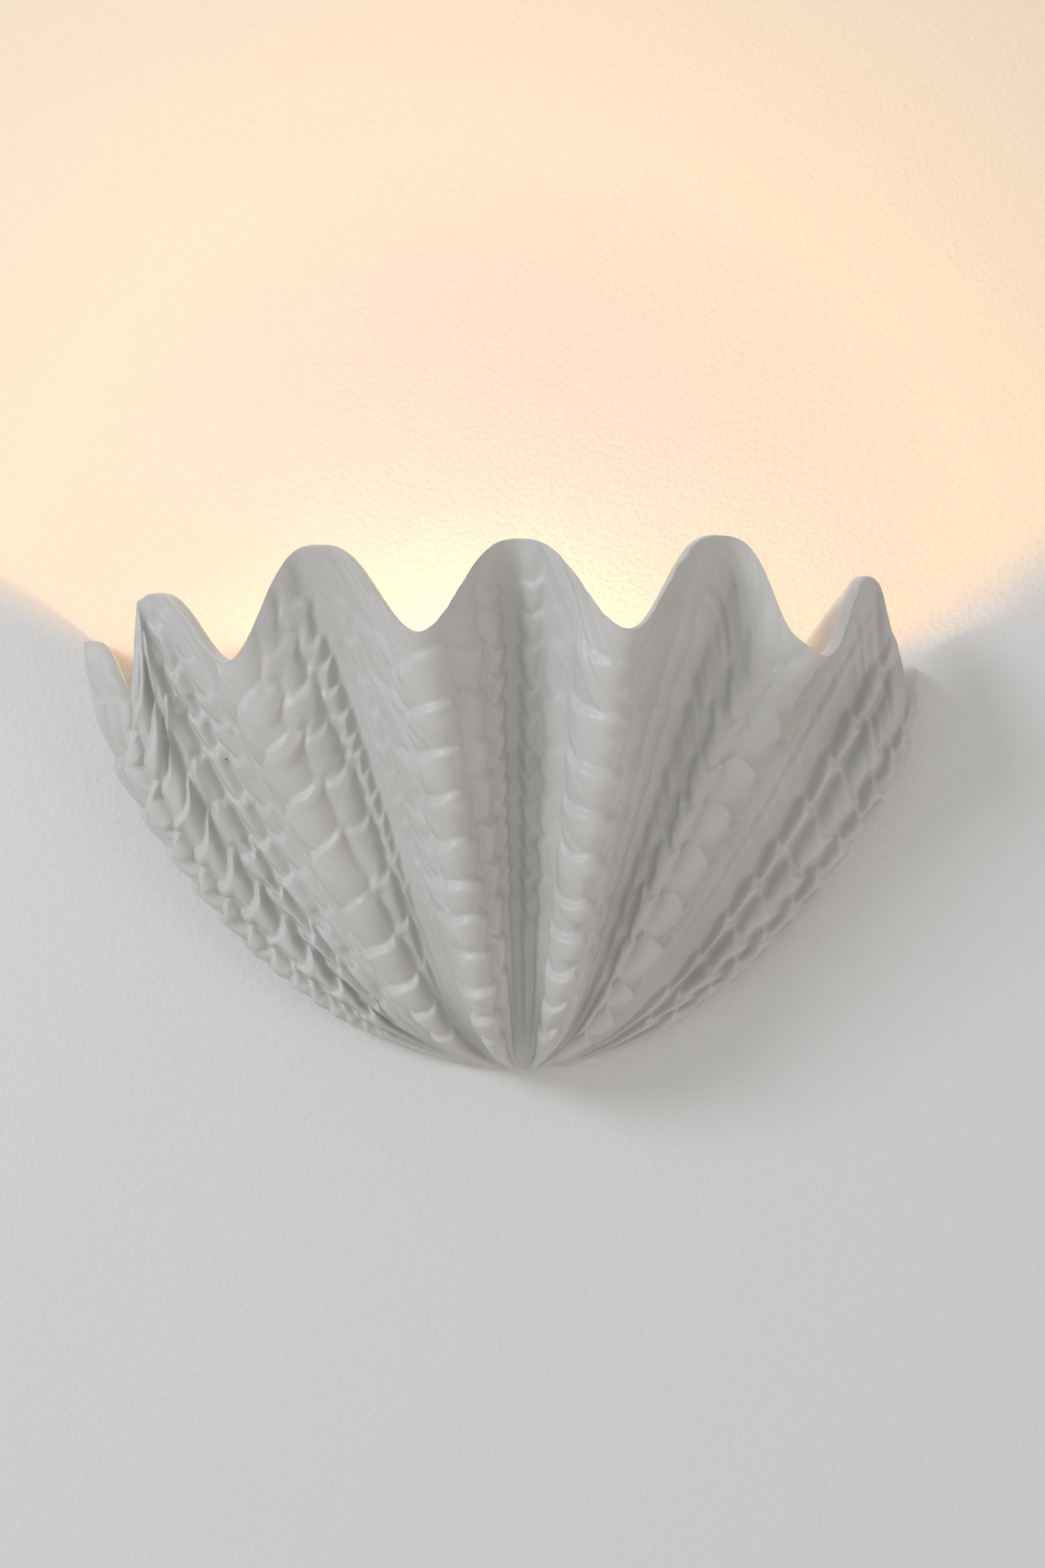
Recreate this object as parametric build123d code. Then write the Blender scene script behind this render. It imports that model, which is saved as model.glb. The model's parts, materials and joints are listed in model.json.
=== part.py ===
"""Shell wall sconce: a cast half-bowl shaped like a giant clam, hung over a wall-mounted lamp.

Frame: millimetres, +Z up, -Y out of the wall, +X to the right as seen from the room.
The origin is the middle of the mounting strap, in the plane of the wall.
"""
import math
import os

from build123d import *

# ---------------------------------------------------------------- driving dimensions: shell
SHELL_LEFT = 211.0        # reach of the shell to the left of the lamp, at the wall
SHELL_RIGHT = 188.0       # reach to the right: the shell is hand shaped and not symmetrical
SHELL_DEPTH = 150.0       # reach of the two front ribs from the wall
SHELL_FOOT_Z = -115.0     # lowest point, where all folds meet
SHELL_RIM_Z = 124.0       # height of the tallest folds
SHELL_WALL = 6.0          # radial thickness of the wall
SHELL_FLOOR = 7.0         # thickness at the foot
RIM_ROUNDNESS = 1.4       # above 1 the crests of the scalloped rim are broader than its dips
BOWL_POWER = 1.64         # superellipse power of the outermost folds
FOOT_SPREAD = 12          # how fast the fan opens at its foot
FRONT_START = 0.42        # share of the depth that the foot takes up at once
FOOT_SHARE = 0.02         # where on the fan the small flat foot lies

# One entry per fold, from the left end to the right end. Even entries are grooves, whose rim
# stands high, and odd entries are ribs, whose rim dips. All are shares of the sizes above.
FOLD_ACROSS = [-1.0, -0.868, -0.806, -0.59, -0.424, -0.205, -0.006,
               0.233, 0.456, 0.696, 0.852, 0.97, 1.0]
FOLD_OUT = [0.0, 0.25, 0.33, 0.70, 0.75, 1.0, 0.83, 1.0, 0.75, 0.70, 0.33, 0.20, 0.0]
FOLD_UP = [0.85, 0.72, 0.928, 0.799, 0.991, 0.825, 0.996, 0.83, 1.008, 0.796, 0.96, 0.712, 0.80]
FOLD_START = [0.30, 0.30, 0.28, 0.27, 0.25, 0.30, 0.30, 0.34, 0.20, 0.17, 0.16, 0.20, 0.20]
FOLD_FLARE = [0.0, 0.0, 0.02, 0.03, 0.03, 0.10, 0.0, 0.02, 0.02, 0.10, 0.02, 0.0, 0.0]
FOLD_BULGE = [1.0, 0.90, 0.35, 0.06, 0.0, 0.0, 0.0, 0.0, 0.0, 0.0, 0.12, 0.72, 0.84]
STEPS_PER_FOLD = 8        # surface points across one fold
STEPS_UP = 18             # surface points from foot to rim
SURFACE_TOLERANCE = 0.1   # how far the spline face may leave those points

# ---------------------------------------------------------------- driving dimensions: hanging
LUG_Z = 41.0              # height of the two cast lugs that carry the hanger bar
LUG_HEIGHT = 26.0
LUG_REACH = 32.0          # how far a lug stands in from the shell wall
LUG_PAD = 1.5             # thickness of the soft pad behind each lug
PAD_RADIUS = 8.0
BAR_HEIGHT = 22.0
BAR_THICK = 2.5
BAR_GAP = 0.3             # running gap between the hanger bar and the back plate
STUD_SPAN = 60.0          # distance between the two hook studs
STUD_RISE = 4.0           # the studs sit this far above the middle of the bar
STUD_RADIUS = 2.0
STUD_HEAD_RADIUS = 4.0
STUD_HEAD_THICK = 2.4
STUD_GAP = 0.05           # radial gap of a stud in its slot
KEYHOLE_GAP = 0.5         # radial gap of a stud head in the round part of a keyhole
LIFT = 6.0                # how far the shell lifts before it comes off the studs
INSERT_RADIUS = 3.0
INSERT_LENGTH = 9.0
BAR_SCREW_RADIUS = 1.6
BAR_SCREW_PITCH = 12.0    # distance between the two screws at each end of the bar
BAR_END_MARGIN = 6.0      # from the end of the bar to its outer screw
BAR_END_GAP = 3.0         # from the end of the bar to the shell wall

# ---------------------------------------------------------------- driving dimensions: back
PLATE_WIDTH = 90.0
PLATE_TOP_Z = 60.0
PLATE_FOOT_Z = -83.0
PLATE_DEPTH = 14.0
SHEET = 1.5               # sheet steel of the back plate
PLATE_CORNER = 18.0       # wide enough that the lifted shell passes the lower corners
STRAP_END = 4.0           # from a box slot to the end of the strap
STRAP_WIDTH = 22.0
STRAP_THICK = 2.0
BOX_SPACING = 76.0        # distance between the middles of the two strap slots
BOX_SLOT_LENGTH = 26.0
BOX_SLOT_WIDTH = 4.8
STRAP_HOLE_RADIUS = 5.2   # middle hole, through which the supply comes
PLATE_SCREW_SPAN = 28.0
PLATE_SCREW_RADIUS = 2.0
THREAD_GAP = 0.05         # radial gap drawn between a screw and its tapped hole
CLEAR_GAP = 0.3           # radial gap of a screw in a plain hole
HEAD_RATIO = 2.0          # screw head radius over screw radius
HEAD_HEIGHT_RATIO = 1.2   # screw head height over screw radius
NUT_RATIO = 2.0           # nut corner radius over screw radius
NUT_HEIGHT_RATIO = 1.6    # nut height over screw radius
DRIVE_WIDTH = 0.8         # width of the cross recess in a screw head
DRIVE_DEPTH = 1.0

# ---------------------------------------------------------------- driving dimensions: lamp
BULB_GAP = 2.0            # gap between the bulb and the screw heads behind it
ARM_TOP_Z = -60.0         # top of the bracket arm, where the lampholder stands
ARM_THICK = 2.0
ARM_WIDTH = 22.0
LEG_HEIGHT = 20.0
BRACKET_SCREW_SPAN = 13.0
BRACKET_SCREW_RADIUS = 2.0
HOLDER_RADIUS = 14.0
HOLDER_HEIGHT = 38.0
HOLDER_WALL = 2.5
BASE_HEIGHT = 14.0        # height of the lower half of the lampholder
CORE_THICK = 5.0          # insulating core under the screw shell
CORE_SCREW_RADIUS = 1.0
SLEEVE_LIP = 2.0          # thickness of the sleeve's inturned top
MOUTH_GAP = 0.9           # gap between the screw shell and the mouth of the sleeve
FLUTE_COUNT = 24          # grip flutes around the sleeve
FLUTE_RADIUS = 0.5
FLUTE_SETBACK = 3.0
CONTACT_FOOT = 0.4        # width of the foot ring of the screw shell
CONTACT_STRIP = 0.6       # thickness of the middle contact
NIPPLE_RADIUS = 5.0
NIPPLE_BORE = 3.5
NIPPLE_NUT_HEIGHT = 3.0
WASHER_THICK = 0.8
CAP_RADIUS = 6.9          # small screw cap, 14 mm nominal
CAP_LENGTH = 23.0
CAP_GAP = 0.3             # gap between cap and screw shell
SCREW_SHELL_WALL = 0.5
CONTACT_LIFT = 12.0       # bulb contact above the arm
CONTACT_GAP = 0.3
BULB_RADIUS = 22.5
BULB_LENGTH = 75.0
GLASS_WALL = 0.9
CAP_WALL = 0.4
NECK_DEPTH = 5.0          # how far the glass neck reaches into the cap
FLARE_ANGLE = 38.0        # degrees from the foot of the ball to where the neck runs into it
FILAMENT_DROP = 9.0       # foot of the filaments below the middle of the ball
FILAMENT_LENGTH = 20.0
FILAMENT_RADIUS = 0.9
FILAMENT_RING = 6.0       # radius of the ring of filaments
FILAMENT_COUNT = 4
THREAD_PITCH = 2.822
UNSCREW_TURNS = 3

# ---------------------------------------------------------------- driving dimensions: wiring
BLOCK_WIDTH = 26.0
BLOCK_HEIGHT = 16.0
BLOCK_DEPTH = 9.0
BLOCK_X = 26.0
BLOCK_Z = -30.0
POLE_PITCH = 8.0          # distance between the two poles of the terminal block
POLE_RADIUS = 2.6
POLE_SCREW_RADIUS = 1.3
POLE_SCREW_PITCH = 9.0
DRIVER_HOLE_RADIUS = 2.2
BARREL_SETBACK = 1.0      # from the end of the block to the end of a barrel
LEAD_GRIP = 3.0           # length of lead inside its barrel
LEAD_RADIUS = 1.1
LEAD_Z = -54.0            # height at which both leads leave the lampholder
LEAD_SPREAD = 3.0         # each lead leaves the holder this far from its middle
LEAD_TAIL = 2.5           # length of lead inside the lampholder
GROMMET_RADIUS = 3.4
GROMMET_FLANGE = 3.9
GROMMET_THICK = 1.2
EARTH_X = -28.0
EARTH_Z = -34.0
EARTH_SCREW_RADIUS = 2.0
EARTH_TAIL = 5.0          # length of the earth screw behind its ring lug
EARTH_LUG_RADIUS = 4.0
EARTH_LUG_THICK = 0.8
CRIMP_RADIUS = 1.6
CRIMP_LENGTH = 5.5
CRIMP_SETBACK = 0.6       # from the rim of the ring to its crimp barrel
EARTH_BEND_DROP = 16.0    # the earth lead leaves the plate's face this far below the strap's lug
EARTH_HOLE_Z = 27.0       # earth screw on the strap

# ---------------------------------------------------------------- sizes that follow
PLATE_FRONT = -PLATE_DEPTH
PLATE_INNER = PLATE_FRONT + SHEET
STRAP_LENGTH = BOX_SPACING + BOX_SLOT_LENGTH + 2 * STRAP_END
LAMP_Y = PLATE_FRONT - PLATE_SCREW_RADIUS * HEAD_HEIGHT_RATIO - BULB_GAP - BULB_RADIUS
BAR_BACK = PLATE_FRONT - BAR_GAP
BAR_FRONT = BAR_BACK - BAR_THICK
SLOT_RADIUS = STUD_RADIUS + STUD_GAP
STUD_Z = LUG_Z + STUD_RISE
STRAP_FACE = -STRAP_THICK
ARM_BOTTOM_Z = ARM_TOP_Z - ARM_THICK
CORE_TOP_Z = ARM_TOP_Z + BASE_HEIGHT
HOLDER_TOP_Z = ARM_TOP_Z + HOLDER_HEIGHT
CONTACT_Z = ARM_TOP_Z + CONTACT_LIFT
INSULATOR_TOP_Z = CONTACT_Z + 3.0
CAP_TOP_Z = INSULATOR_TOP_Z + CAP_LENGTH
BULB_TOP_Z = CONTACT_Z + BULB_LENGTH
BULB_MIDDLE_Z = BULB_TOP_Z - BULB_RADIUS
FILAMENT_Z = BULB_MIDDLE_Z - FILAMENT_DROP
BLOCK_BACK = PLATE_INNER + BLOCK_DEPTH
BLOCK_FOOT_Z = BLOCK_Z - BLOCK_HEIGHT / 2
POLE_Y = PLATE_INNER + BLOCK_DEPTH / 2
OUTWARD = (90, 0, 0)      # turns a shape drawn along +Z so that it runs along -Y


# ---------------------------------------------------------------- the folded surface
def smooth(values, fold):
    """Curve through one value per fold, without corners."""
    last = len(values) - 1
    index = min(int(fold), last - 1)
    share = fold - index
    before = values[index - 1] if index > 0 else 2 * values[0] - values[1]
    after = values[index + 2] if index + 2 <= last else 2 * values[last] - values[last - 1]
    here, there = values[index], values[index + 1]
    linear = there - before
    square = 2 * before - 5 * here + 4 * there - after
    cube = 3 * here - before - 3 * there + after
    return 0.5 * (2 * here + linear * share + square * share**2 + cube * share**3)


def scallop(values, fold):
    """Curve with a level point at every fold, broad at the grooves and narrow at the ribs."""
    index = min(int(fold), len(values) - 2)
    share = fold - index
    rib_first = index % 2 == 1
    from_rib = share if rib_first else 1 - share
    low = values[index] if rib_first else values[index + 1]
    high = values[index + 1] if rib_first else values[index]
    rise = (1 - math.cos(math.pi * from_rib)) / 2
    return low + (high - low) * (1 - (1 - rise) ** RIM_ROUNDNESS)


def fan(share, start, flare):
    """How far out a fold has come at a share of its height: quick at the foot, then straight."""
    quick = 1 - (1 - share) ** FOOT_SPREAD
    return start * quick + (1 - start - flare) * share + flare * share**FOOT_SPREAD


def bowl(share):
    """The same for the outermost folds, which follow a round bowl."""
    return (1 - (1 - share) ** BOWL_POWER) ** (1 / BOWL_POWER)


def outer_point(fold, height):
    """Point of the outer face: fold runs from 0 to 12, height from 0 at the foot to 1 at the rim."""
    share = FOOT_SHARE + (1 - FOOT_SHARE) * height
    across = smooth(FOLD_ACROSS, fold)
    rim_x = across * (SHELL_LEFT if across < 0 else SHELL_RIGHT)
    rim_y = -SHELL_DEPTH * smooth(FOLD_OUT, fold)
    rim_z = SHELL_FOOT_Z + (SHELL_RIM_Z - SHELL_FOOT_Z) * scallop(FOLD_UP, fold)
    bulge = smooth(FOLD_BULGE, fold)
    opened = fan(share, smooth(FOLD_START, fold), smooth(FOLD_FLARE, fold))
    x = rim_x * (bulge * bowl(share) + (1 - bulge) * opened)
    y = rim_y * fan(share, FRONT_START, 0)
    return x, y, SHELL_FOOT_Z + height * (rim_z - SHELL_FOOT_Z)


def inner_point(fold, height):
    """The matching point of the inner face."""
    x, y, z = outer_point(fold, height)
    shrink = 1 - SHELL_WALL / math.hypot(x, y)
    return x * shrink, y * shrink, z + SHELL_FLOOR * (1 - height)


def fold_face(point):
    """Spline face through a grid of points of one side of the shell."""
    folds = len(FOLD_ACROSS) - 1
    columns = [column / STEPS_PER_FOLD for column in range(folds * STEPS_PER_FOLD + 1)]
    rows = [(row / STEPS_UP) ** 1.5 for row in range(STEPS_UP + 1)]
    return Face.make_surface_from_array_of_points(
        [[Vector(*point(fold, height)) for height in rows] for fold in columns],
        tol=SURFACE_TOLERANCE, min_deg=3, max_deg=3)


def edge_near(face, point):
    """The edge of a face whose middle lies nearest to a point."""
    return min(face.edges(), key=lambda edge: (edge @ 0.5 - Vector(*point)).length)


def shell_bowl():
    """The folded half-bowl as one solid."""
    last = len(FOLD_ACROSS) - 1
    outer, inner = fold_face(outer_point), fold_face(inner_point)
    faces = [outer, inner]
    for fold, height in ((last / 2, 1), (0, 0.35), (last, 0.35)):
        outside = edge_near(outer, outer_point(fold, height))
        inside = edge_near(inner, inner_point(fold, height))
        faces.append(Face.make_surface_from_curves(outside, inside))
    corners = []
    for face, point in ((outer, outer_point), (inner, inner_point)):
        foot = edge_near(face, point(last / 2, 0))
        chord = Edge.make_line(foot @ 1, foot @ 0)
        faces.append(Face(Wire([foot, chord])))
        corners.append((foot @ 0, foot @ 1))
    (a, b), (c, d) = corners
    faces.append(Face(Wire.make_polygon([a, b, d, c])))
    return Solid(Shell(faces))


# ---------------------------------------------------------------- small helpers
def rod(radius, length, at, turn=(0, 0, 0)):
    """Cylinder that starts at a point and runs along +Z, turned as given."""
    return Pos(*at) * Rot(*turn) * Cylinder(radius, length, align=(Align.CENTER, Align.CENTER, Align.MIN))


def tube(radius, bore, length, at, turn=(0, 0, 0)):
    return rod(radius, length, at, turn) - rod(bore, length, at, turn)


def block(low, high):
    """Box between two corners."""
    size = [high[i] - low[i] for i in range(3)]
    middle = [(high[i] + low[i]) / 2 for i in range(3)]
    return Pos(*middle) * Box(*size)


def hexagon(radius, height, at, turn=(0, 0, 0), bore=0.0):
    """Nut: a hexagonal prism from a point along +Z, with a bore where one is given."""
    sketch = RegularPolygon(radius, 6)
    if bore:
        sketch -= Circle(bore)
    return Pos(*at) * Rot(*turn) * extrude(sketch, height)


def head(radius, height, at, turn=(0, 0, 0)):
    """Rounded screw head with a cross recess."""
    body = Cylinder(radius, height, align=(Align.CENTER, Align.CENTER, Align.MIN))
    body = fillet(body.edges().group_by(Axis.Z)[-1], height * 0.6)
    for angle in (0, 90):
        cut = Pos(0, 0, height) * Rot(0, 0, angle) * Box(radius * 1.2, DRIVE_WIDTH, 2 * DRIVE_DEPTH)
        body -= cut
    return Pos(*at) * Rot(*turn) * body


def screw(radius, length, at):
    """Pan head screw that enters the wall side from the front: its head stands at -Y of the point."""
    x, y, z = at
    shank = rod(radius, length, (x, y + length, z), OUTWARD)
    top = head(radius * HEAD_RATIO, radius * HEAD_HEIGHT_RATIO, at, OUTWARD)
    return shank + top


def revolved(points):
    """Solid of revolution about the lamp axis, from (radius, height) points."""
    outline = make_face(Polyline(*[(radius, 0, z) for radius, z in points], close=True))
    return Pos(0, LAMP_Y, 0) * revolve(outline, Axis.Z, 360)


def lead(name, points, largest=math.inf):
    """Lead of straight runs joined by arcs as large as their runs and the space allow."""
    radii = []
    for before, here, after in zip(points, points[1:], points[2:]):
        back, ahead = Vector(*before) - Vector(*here), Vector(*after) - Vector(*here)
        turned = math.radians(180 - back.get_angle(ahead))
        radii.append(min(0.45 * min(back.length, ahead.length) / math.tan(turned / 2), largest))
    path = FilletPolyline(*points, radius=radii)
    body = sweep(Plane(path @ 0, z_dir=path % 0) * Circle(LEAD_RADIUS), path=path)
    swept = math.pi * LEAD_RADIUS**2 * path.length
    print(name, "length", round(path.length, 1), "radii", [round(r, 1) for r in radii],
          "volume ratio", round(body.volume / swept, 3))
    return body


def wall_reach(side, depth, z):
    """Distance from the middle to the shell's outer face on one side, at a depth and height."""
    end = 0 if side < 0 else len(FOLD_ACROSS) - 1
    near, far = 0.0, 1.0
    for _ in range(40):
        fold = end - side * (near + far) / 2
        height = (z - SHELL_FOOT_Z) / (outer_point(fold, 1)[2] - SHELL_FOOT_Z)
        x, y, _ = outer_point(fold, height)
        if -y < depth:
            near = (near + far) / 2
        else:
            far = (near + far) / 2
    return abs(x)


# ---------------------------------------------------------------- shell and its hanging
def lug_near():
    """Distance from the middle to the near end of each lug."""
    low = LUG_Z - LUG_HEIGHT / 2
    return {side: wall_reach(side, -BAR_BACK, low) - SHELL_WALL - LUG_REACH for side in (-1, 1)}


def lug(side):
    """Block cast between the wall of the shell and the bar, with its far end inside the wall."""
    faces = []
    for y in (BAR_BACK, -LUG_PAD):
        near = side * lug_near()[side]
        outline = [(near, y, LUG_Z - LUG_HEIGHT / 2), (near, y, LUG_Z + LUG_HEIGHT / 2)]
        for z in (LUG_Z + LUG_HEIGHT / 2, LUG_Z - LUG_HEIGHT / 2):
            outline.append((side * (wall_reach(side, -y, z) - SHELL_WALL / 2), y, z))
        faces.append(make_face(Polyline(*outline, close=True)))
    return loft(faces, ruled=True)


def bar_screw_places(side):
    outer = bar_end(side) - BAR_END_MARGIN
    return [side * outer, side * (outer - BAR_SCREW_PITCH)]


def bar_end(side):
    """Distance from the middle to the end of the hanger bar, clear of the shell wall."""
    return lug_near()[side] + LUG_REACH - BAR_END_GAP


def shell_shade():
    body = shell_bowl()
    for side in (-1, 1):
        body += lug(side)
    for side in (-1, 1):
        for x in bar_screw_places(side):
            body -= rod(INSERT_RADIUS, INSERT_LENGTH, (x, BAR_BACK + INSERT_LENGTH, LUG_Z), OUTWARD)
    return body.solids()


def inserts(side):
    """Brass inserts cast into a lug."""
    made = []
    for x in bar_screw_places(side):
        at = (x, BAR_BACK + INSERT_LENGTH, LUG_Z)
        made.append(tube(INSERT_RADIUS, BAR_SCREW_RADIUS + THREAD_GAP, INSERT_LENGTH, at, OUTWARD))
    return made


def wall_pad(side):
    x = side * (lug_near()[side] + PAD_RADIUS + 1)
    return rod(PAD_RADIUS, LUG_PAD, (x, 0, LUG_Z), OUTWARD)


def hanger_bar():
    """Flat bar between the lugs, with two keyholes over the hook studs."""
    ends = [side * bar_end(side) for side in (-1, 1)]
    half = BAR_HEIGHT / 2
    bar = block((ends[0], BAR_FRONT, LUG_Z - half), (ends[1], BAR_BACK, LUG_Z + half))
    bar = fillet(bar.edges().filter_by(Axis.Y), 3.0)
    for x in (-STUD_SPAN / 2, STUD_SPAN / 2):
        slot_top = STUD_Z - STUD_GAP
        bar -= rod(SLOT_RADIUS, BAR_THICK, (x, BAR_BACK, slot_top), OUTWARD)
        bar -= block((x - SLOT_RADIUS, BAR_FRONT, slot_top - LIFT), (x + SLOT_RADIUS, BAR_BACK, slot_top))
        bar -= rod(STUD_HEAD_RADIUS + KEYHOLE_GAP, BAR_THICK, (x, BAR_BACK, slot_top - LIFT), OUTWARD)
    for side in (-1, 1):
        for x in bar_screw_places(side):
            bar -= rod(BAR_SCREW_RADIUS + CLEAR_GAP, BAR_THICK, (x, BAR_BACK, LUG_Z), OUTWARD)
    return bar


def bar_screws(side):
    length = BAR_THICK + INSERT_LENGTH - 1
    return [screw(BAR_SCREW_RADIUS, length, (x, BAR_FRONT, LUG_Z)) for x in bar_screw_places(side)]


def hook_stud(side):
    """Shoulder stud: its neck carries the bar and its tail goes through the back plate."""
    x = side * STUD_SPAN / 2
    neck = -BAR_FRONT + BAR_GAP - PLATE_DEPTH
    tail = SHEET + STUD_RADIUS * NUT_HEIGHT_RATIO + 1
    body = rod(STUD_RADIUS, tail + neck, (x, PLATE_FRONT + tail, STUD_Z), OUTWARD)
    return body + rod(STUD_HEAD_RADIUS, STUD_HEAD_THICK, (x, PLATE_FRONT - neck, STUD_Z), OUTWARD)


def hook_stud_nuts():
    height = STUD_RADIUS * NUT_HEIGHT_RATIO
    return [hexagon(STUD_RADIUS * NUT_RATIO, height, (side * STUD_SPAN / 2, PLATE_INNER + height, STUD_Z),
                    OUTWARD, STUD_RADIUS + THREAD_GAP) for side in (-1, 1)]


# ---------------------------------------------------------------- back plate and strap
def mounting_strap():
    strap = block((-STRAP_WIDTH / 2, STRAP_FACE, -STRAP_LENGTH / 2),
                  (STRAP_WIDTH / 2, 0, STRAP_LENGTH / 2))
    strap = fillet(strap.edges().filter_by(Axis.Y), 3.0)
    slot = Rot(90, 0, 0) * extrude(Rot(0, 0, 90) * SlotOverall(BOX_SLOT_LENGTH, BOX_SLOT_WIDTH), STRAP_THICK)
    for z in (-BOX_SPACING / 2, BOX_SPACING / 2):
        strap -= Pos(0, 0, z) * slot
    strap -= rod(STRAP_HOLE_RADIUS, STRAP_THICK, (0, 0, 0), OUTWARD)
    for z in (-PLATE_SCREW_SPAN / 2, PLATE_SCREW_SPAN / 2):
        strap -= rod(PLATE_SCREW_RADIUS + THREAD_GAP, STRAP_THICK, (0, 0, z), OUTWARD)
    strap -= rod(EARTH_SCREW_RADIUS + THREAD_GAP, STRAP_THICK, (earth_strap_x(), 0, EARTH_HOLE_Z), OUTWARD)
    return strap


def earth_strap_x():
    """The strap's earth screw sits beside the slot."""
    return -(STRAP_WIDTH + BOX_SLOT_WIDTH) / 4


def back_plate():
    """Sheet steel pan, open towards the wall."""
    middle_z = (PLATE_TOP_Z + PLATE_FOOT_Z) / 2
    height = PLATE_TOP_Z - PLATE_FOOT_Z
    outline = RectangleRounded(PLATE_WIDTH, height, PLATE_CORNER)
    inside = RectangleRounded(PLATE_WIDTH - 2 * SHEET, height - 2 * SHEET, PLATE_CORNER - SHEET)
    pan = Pos(0, 0, middle_z) * Rot(*OUTWARD) * extrude(outline, PLATE_DEPTH)
    pan = fillet(pan.faces().sort_by(Axis.Y)[0].edges(), SHEET * 0.8)
    pan -= Pos(0, 0, middle_z) * Rot(*OUTWARD) * extrude(inside, PLATE_DEPTH - SHEET)
    holes = [(0, z, PLATE_SCREW_RADIUS + CLEAR_GAP) for z in (-PLATE_SCREW_SPAN / 2, PLATE_SCREW_SPAN / 2)]
    holes += [(x, STUD_Z, STUD_RADIUS + THREAD_GAP) for x in (-STUD_SPAN / 2, STUD_SPAN / 2)]
    holes += [(x, bracket_screw_z(), BRACKET_SCREW_RADIUS + CLEAR_GAP) for x in bracket_screw_xs()]
    holes += [(x, LEAD_Z, GROMMET_RADIUS) for x in pole_xs()]
    holes += [(EARTH_X, EARTH_Z, EARTH_SCREW_RADIUS + CLEAR_GAP)]
    holes += [(BLOCK_X, BLOCK_Z, POLE_SCREW_RADIUS + THREAD_GAP)]
    for x, z, radius in holes:
        pan -= rod(radius, SHEET, (x, PLATE_INNER, z), OUTWARD)
    return pan


def plate_screws():
    length = -PLATE_FRONT
    return [screw(PLATE_SCREW_RADIUS, length, (0, PLATE_FRONT, z))
            for z in (-PLATE_SCREW_SPAN / 2, PLATE_SCREW_SPAN / 2)]


# ---------------------------------------------------------------- lamp bracket and lampholder
def bracket_screw_xs():
    return (-BRACKET_SCREW_SPAN / 2, BRACKET_SCREW_SPAN / 2)


def bracket_screw_z():
    return ARM_BOTTOM_Z - LEG_HEIGHT / 2


def lamp_bracket():
    """Steel angle: its leg is screwed to the back plate and its arm carries the lampholder."""
    half = ARM_WIDTH / 2
    foot_z = ARM_BOTTOM_Z - LEG_HEIGHT
    leg_front = PLATE_FRONT - ARM_THICK
    side = Polyline((leg_front, foot_z), (PLATE_FRONT, foot_z), (PLATE_FRONT, ARM_TOP_Z),
                    (LAMP_Y, ARM_TOP_Z), (LAMP_Y, ARM_BOTTOM_Z), (leg_front, ARM_BOTTOM_Z), close=True)
    angle = Pos(-half, 0, 0) * extrude(Plane.YZ * make_face(side), ARM_WIDTH)
    bend = angle.edges().filter_by(Axis.X).sort_by_distance((0, PLATE_FRONT, ARM_TOP_Z))[0]
    angle = fillet(bend, 0.9 * ARM_THICK)
    angle += rod(half, ARM_THICK, (0, LAMP_Y, ARM_BOTTOM_Z))
    angle -= rod(NIPPLE_RADIUS + THREAD_GAP, ARM_THICK, (0, LAMP_Y, ARM_BOTTOM_Z))
    radius = BRACKET_SCREW_RADIUS + CLEAR_GAP
    for x in bracket_screw_xs():
        angle -= rod(radius, ARM_THICK, (x, PLATE_FRONT, bracket_screw_z()), OUTWARD)
    return angle


def bracket_screws():
    nut = BRACKET_SCREW_RADIUS * NUT_HEIGHT_RATIO
    length = ARM_THICK + SHEET + nut + 1
    return [screw(BRACKET_SCREW_RADIUS, length, (x, PLATE_FRONT - ARM_THICK, bracket_screw_z()))
            for x in bracket_screw_xs()]


def bracket_nuts():
    height = BRACKET_SCREW_RADIUS * NUT_HEIGHT_RATIO
    return [hexagon(BRACKET_SCREW_RADIUS * NUT_RATIO, height,
                    (x, PLATE_INNER + height, bracket_screw_z()), OUTWARD,
                    BRACKET_SCREW_RADIUS + THREAD_GAP) for x in bracket_screw_xs()]


def holder_base():
    """Lower half of the lampholder: a cup with the nipple hole and two lead holes."""
    inside = HOLDER_RADIUS - HOLDER_WALL
    cup = revolved([(NIPPLE_RADIUS + THREAD_GAP, ARM_TOP_Z), (HOLDER_RADIUS, ARM_TOP_Z),
                    (HOLDER_RADIUS, CORE_TOP_Z), (inside, CORE_TOP_Z),
                    (inside, ARM_TOP_Z + HOLDER_WALL), (NIPPLE_RADIUS + THREAD_GAP, ARM_TOP_Z + HOLDER_WALL)])
    for y in lead_ys():
        cup -= rod(LEAD_RADIUS + THREAD_GAP, HOLDER_RADIUS, (0, y, LEAD_Z), (0, 90, 0))
    return cup


def holder_sleeve():
    """Upper half of the lampholder, with grip ribs around it."""
    inside, lip = HOLDER_RADIUS - HOLDER_WALL, HOLDER_TOP_Z - SLEEVE_LIP
    mouth = CAP_RADIUS + CAP_GAP + SCREW_SHELL_WALL + MOUTH_GAP
    sleeve = revolved([(inside, CORE_TOP_Z), (HOLDER_RADIUS, CORE_TOP_Z), (HOLDER_RADIUS, HOLDER_TOP_Z - 1),
                       (HOLDER_RADIUS - 1, HOLDER_TOP_Z), (mouth, HOLDER_TOP_Z),
                       (mouth, lip), (inside, lip)])
    for step in range(FLUTE_COUNT):
        angle = 2 * math.pi * step / FLUTE_COUNT
        x, y = HOLDER_RADIUS * math.cos(angle), LAMP_Y + HOLDER_RADIUS * math.sin(angle)
        sleeve -= rod(FLUTE_RADIUS, HOLDER_HEIGHT, (x, y, CORE_TOP_Z + FLUTE_SETBACK))
    return sleeve


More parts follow.
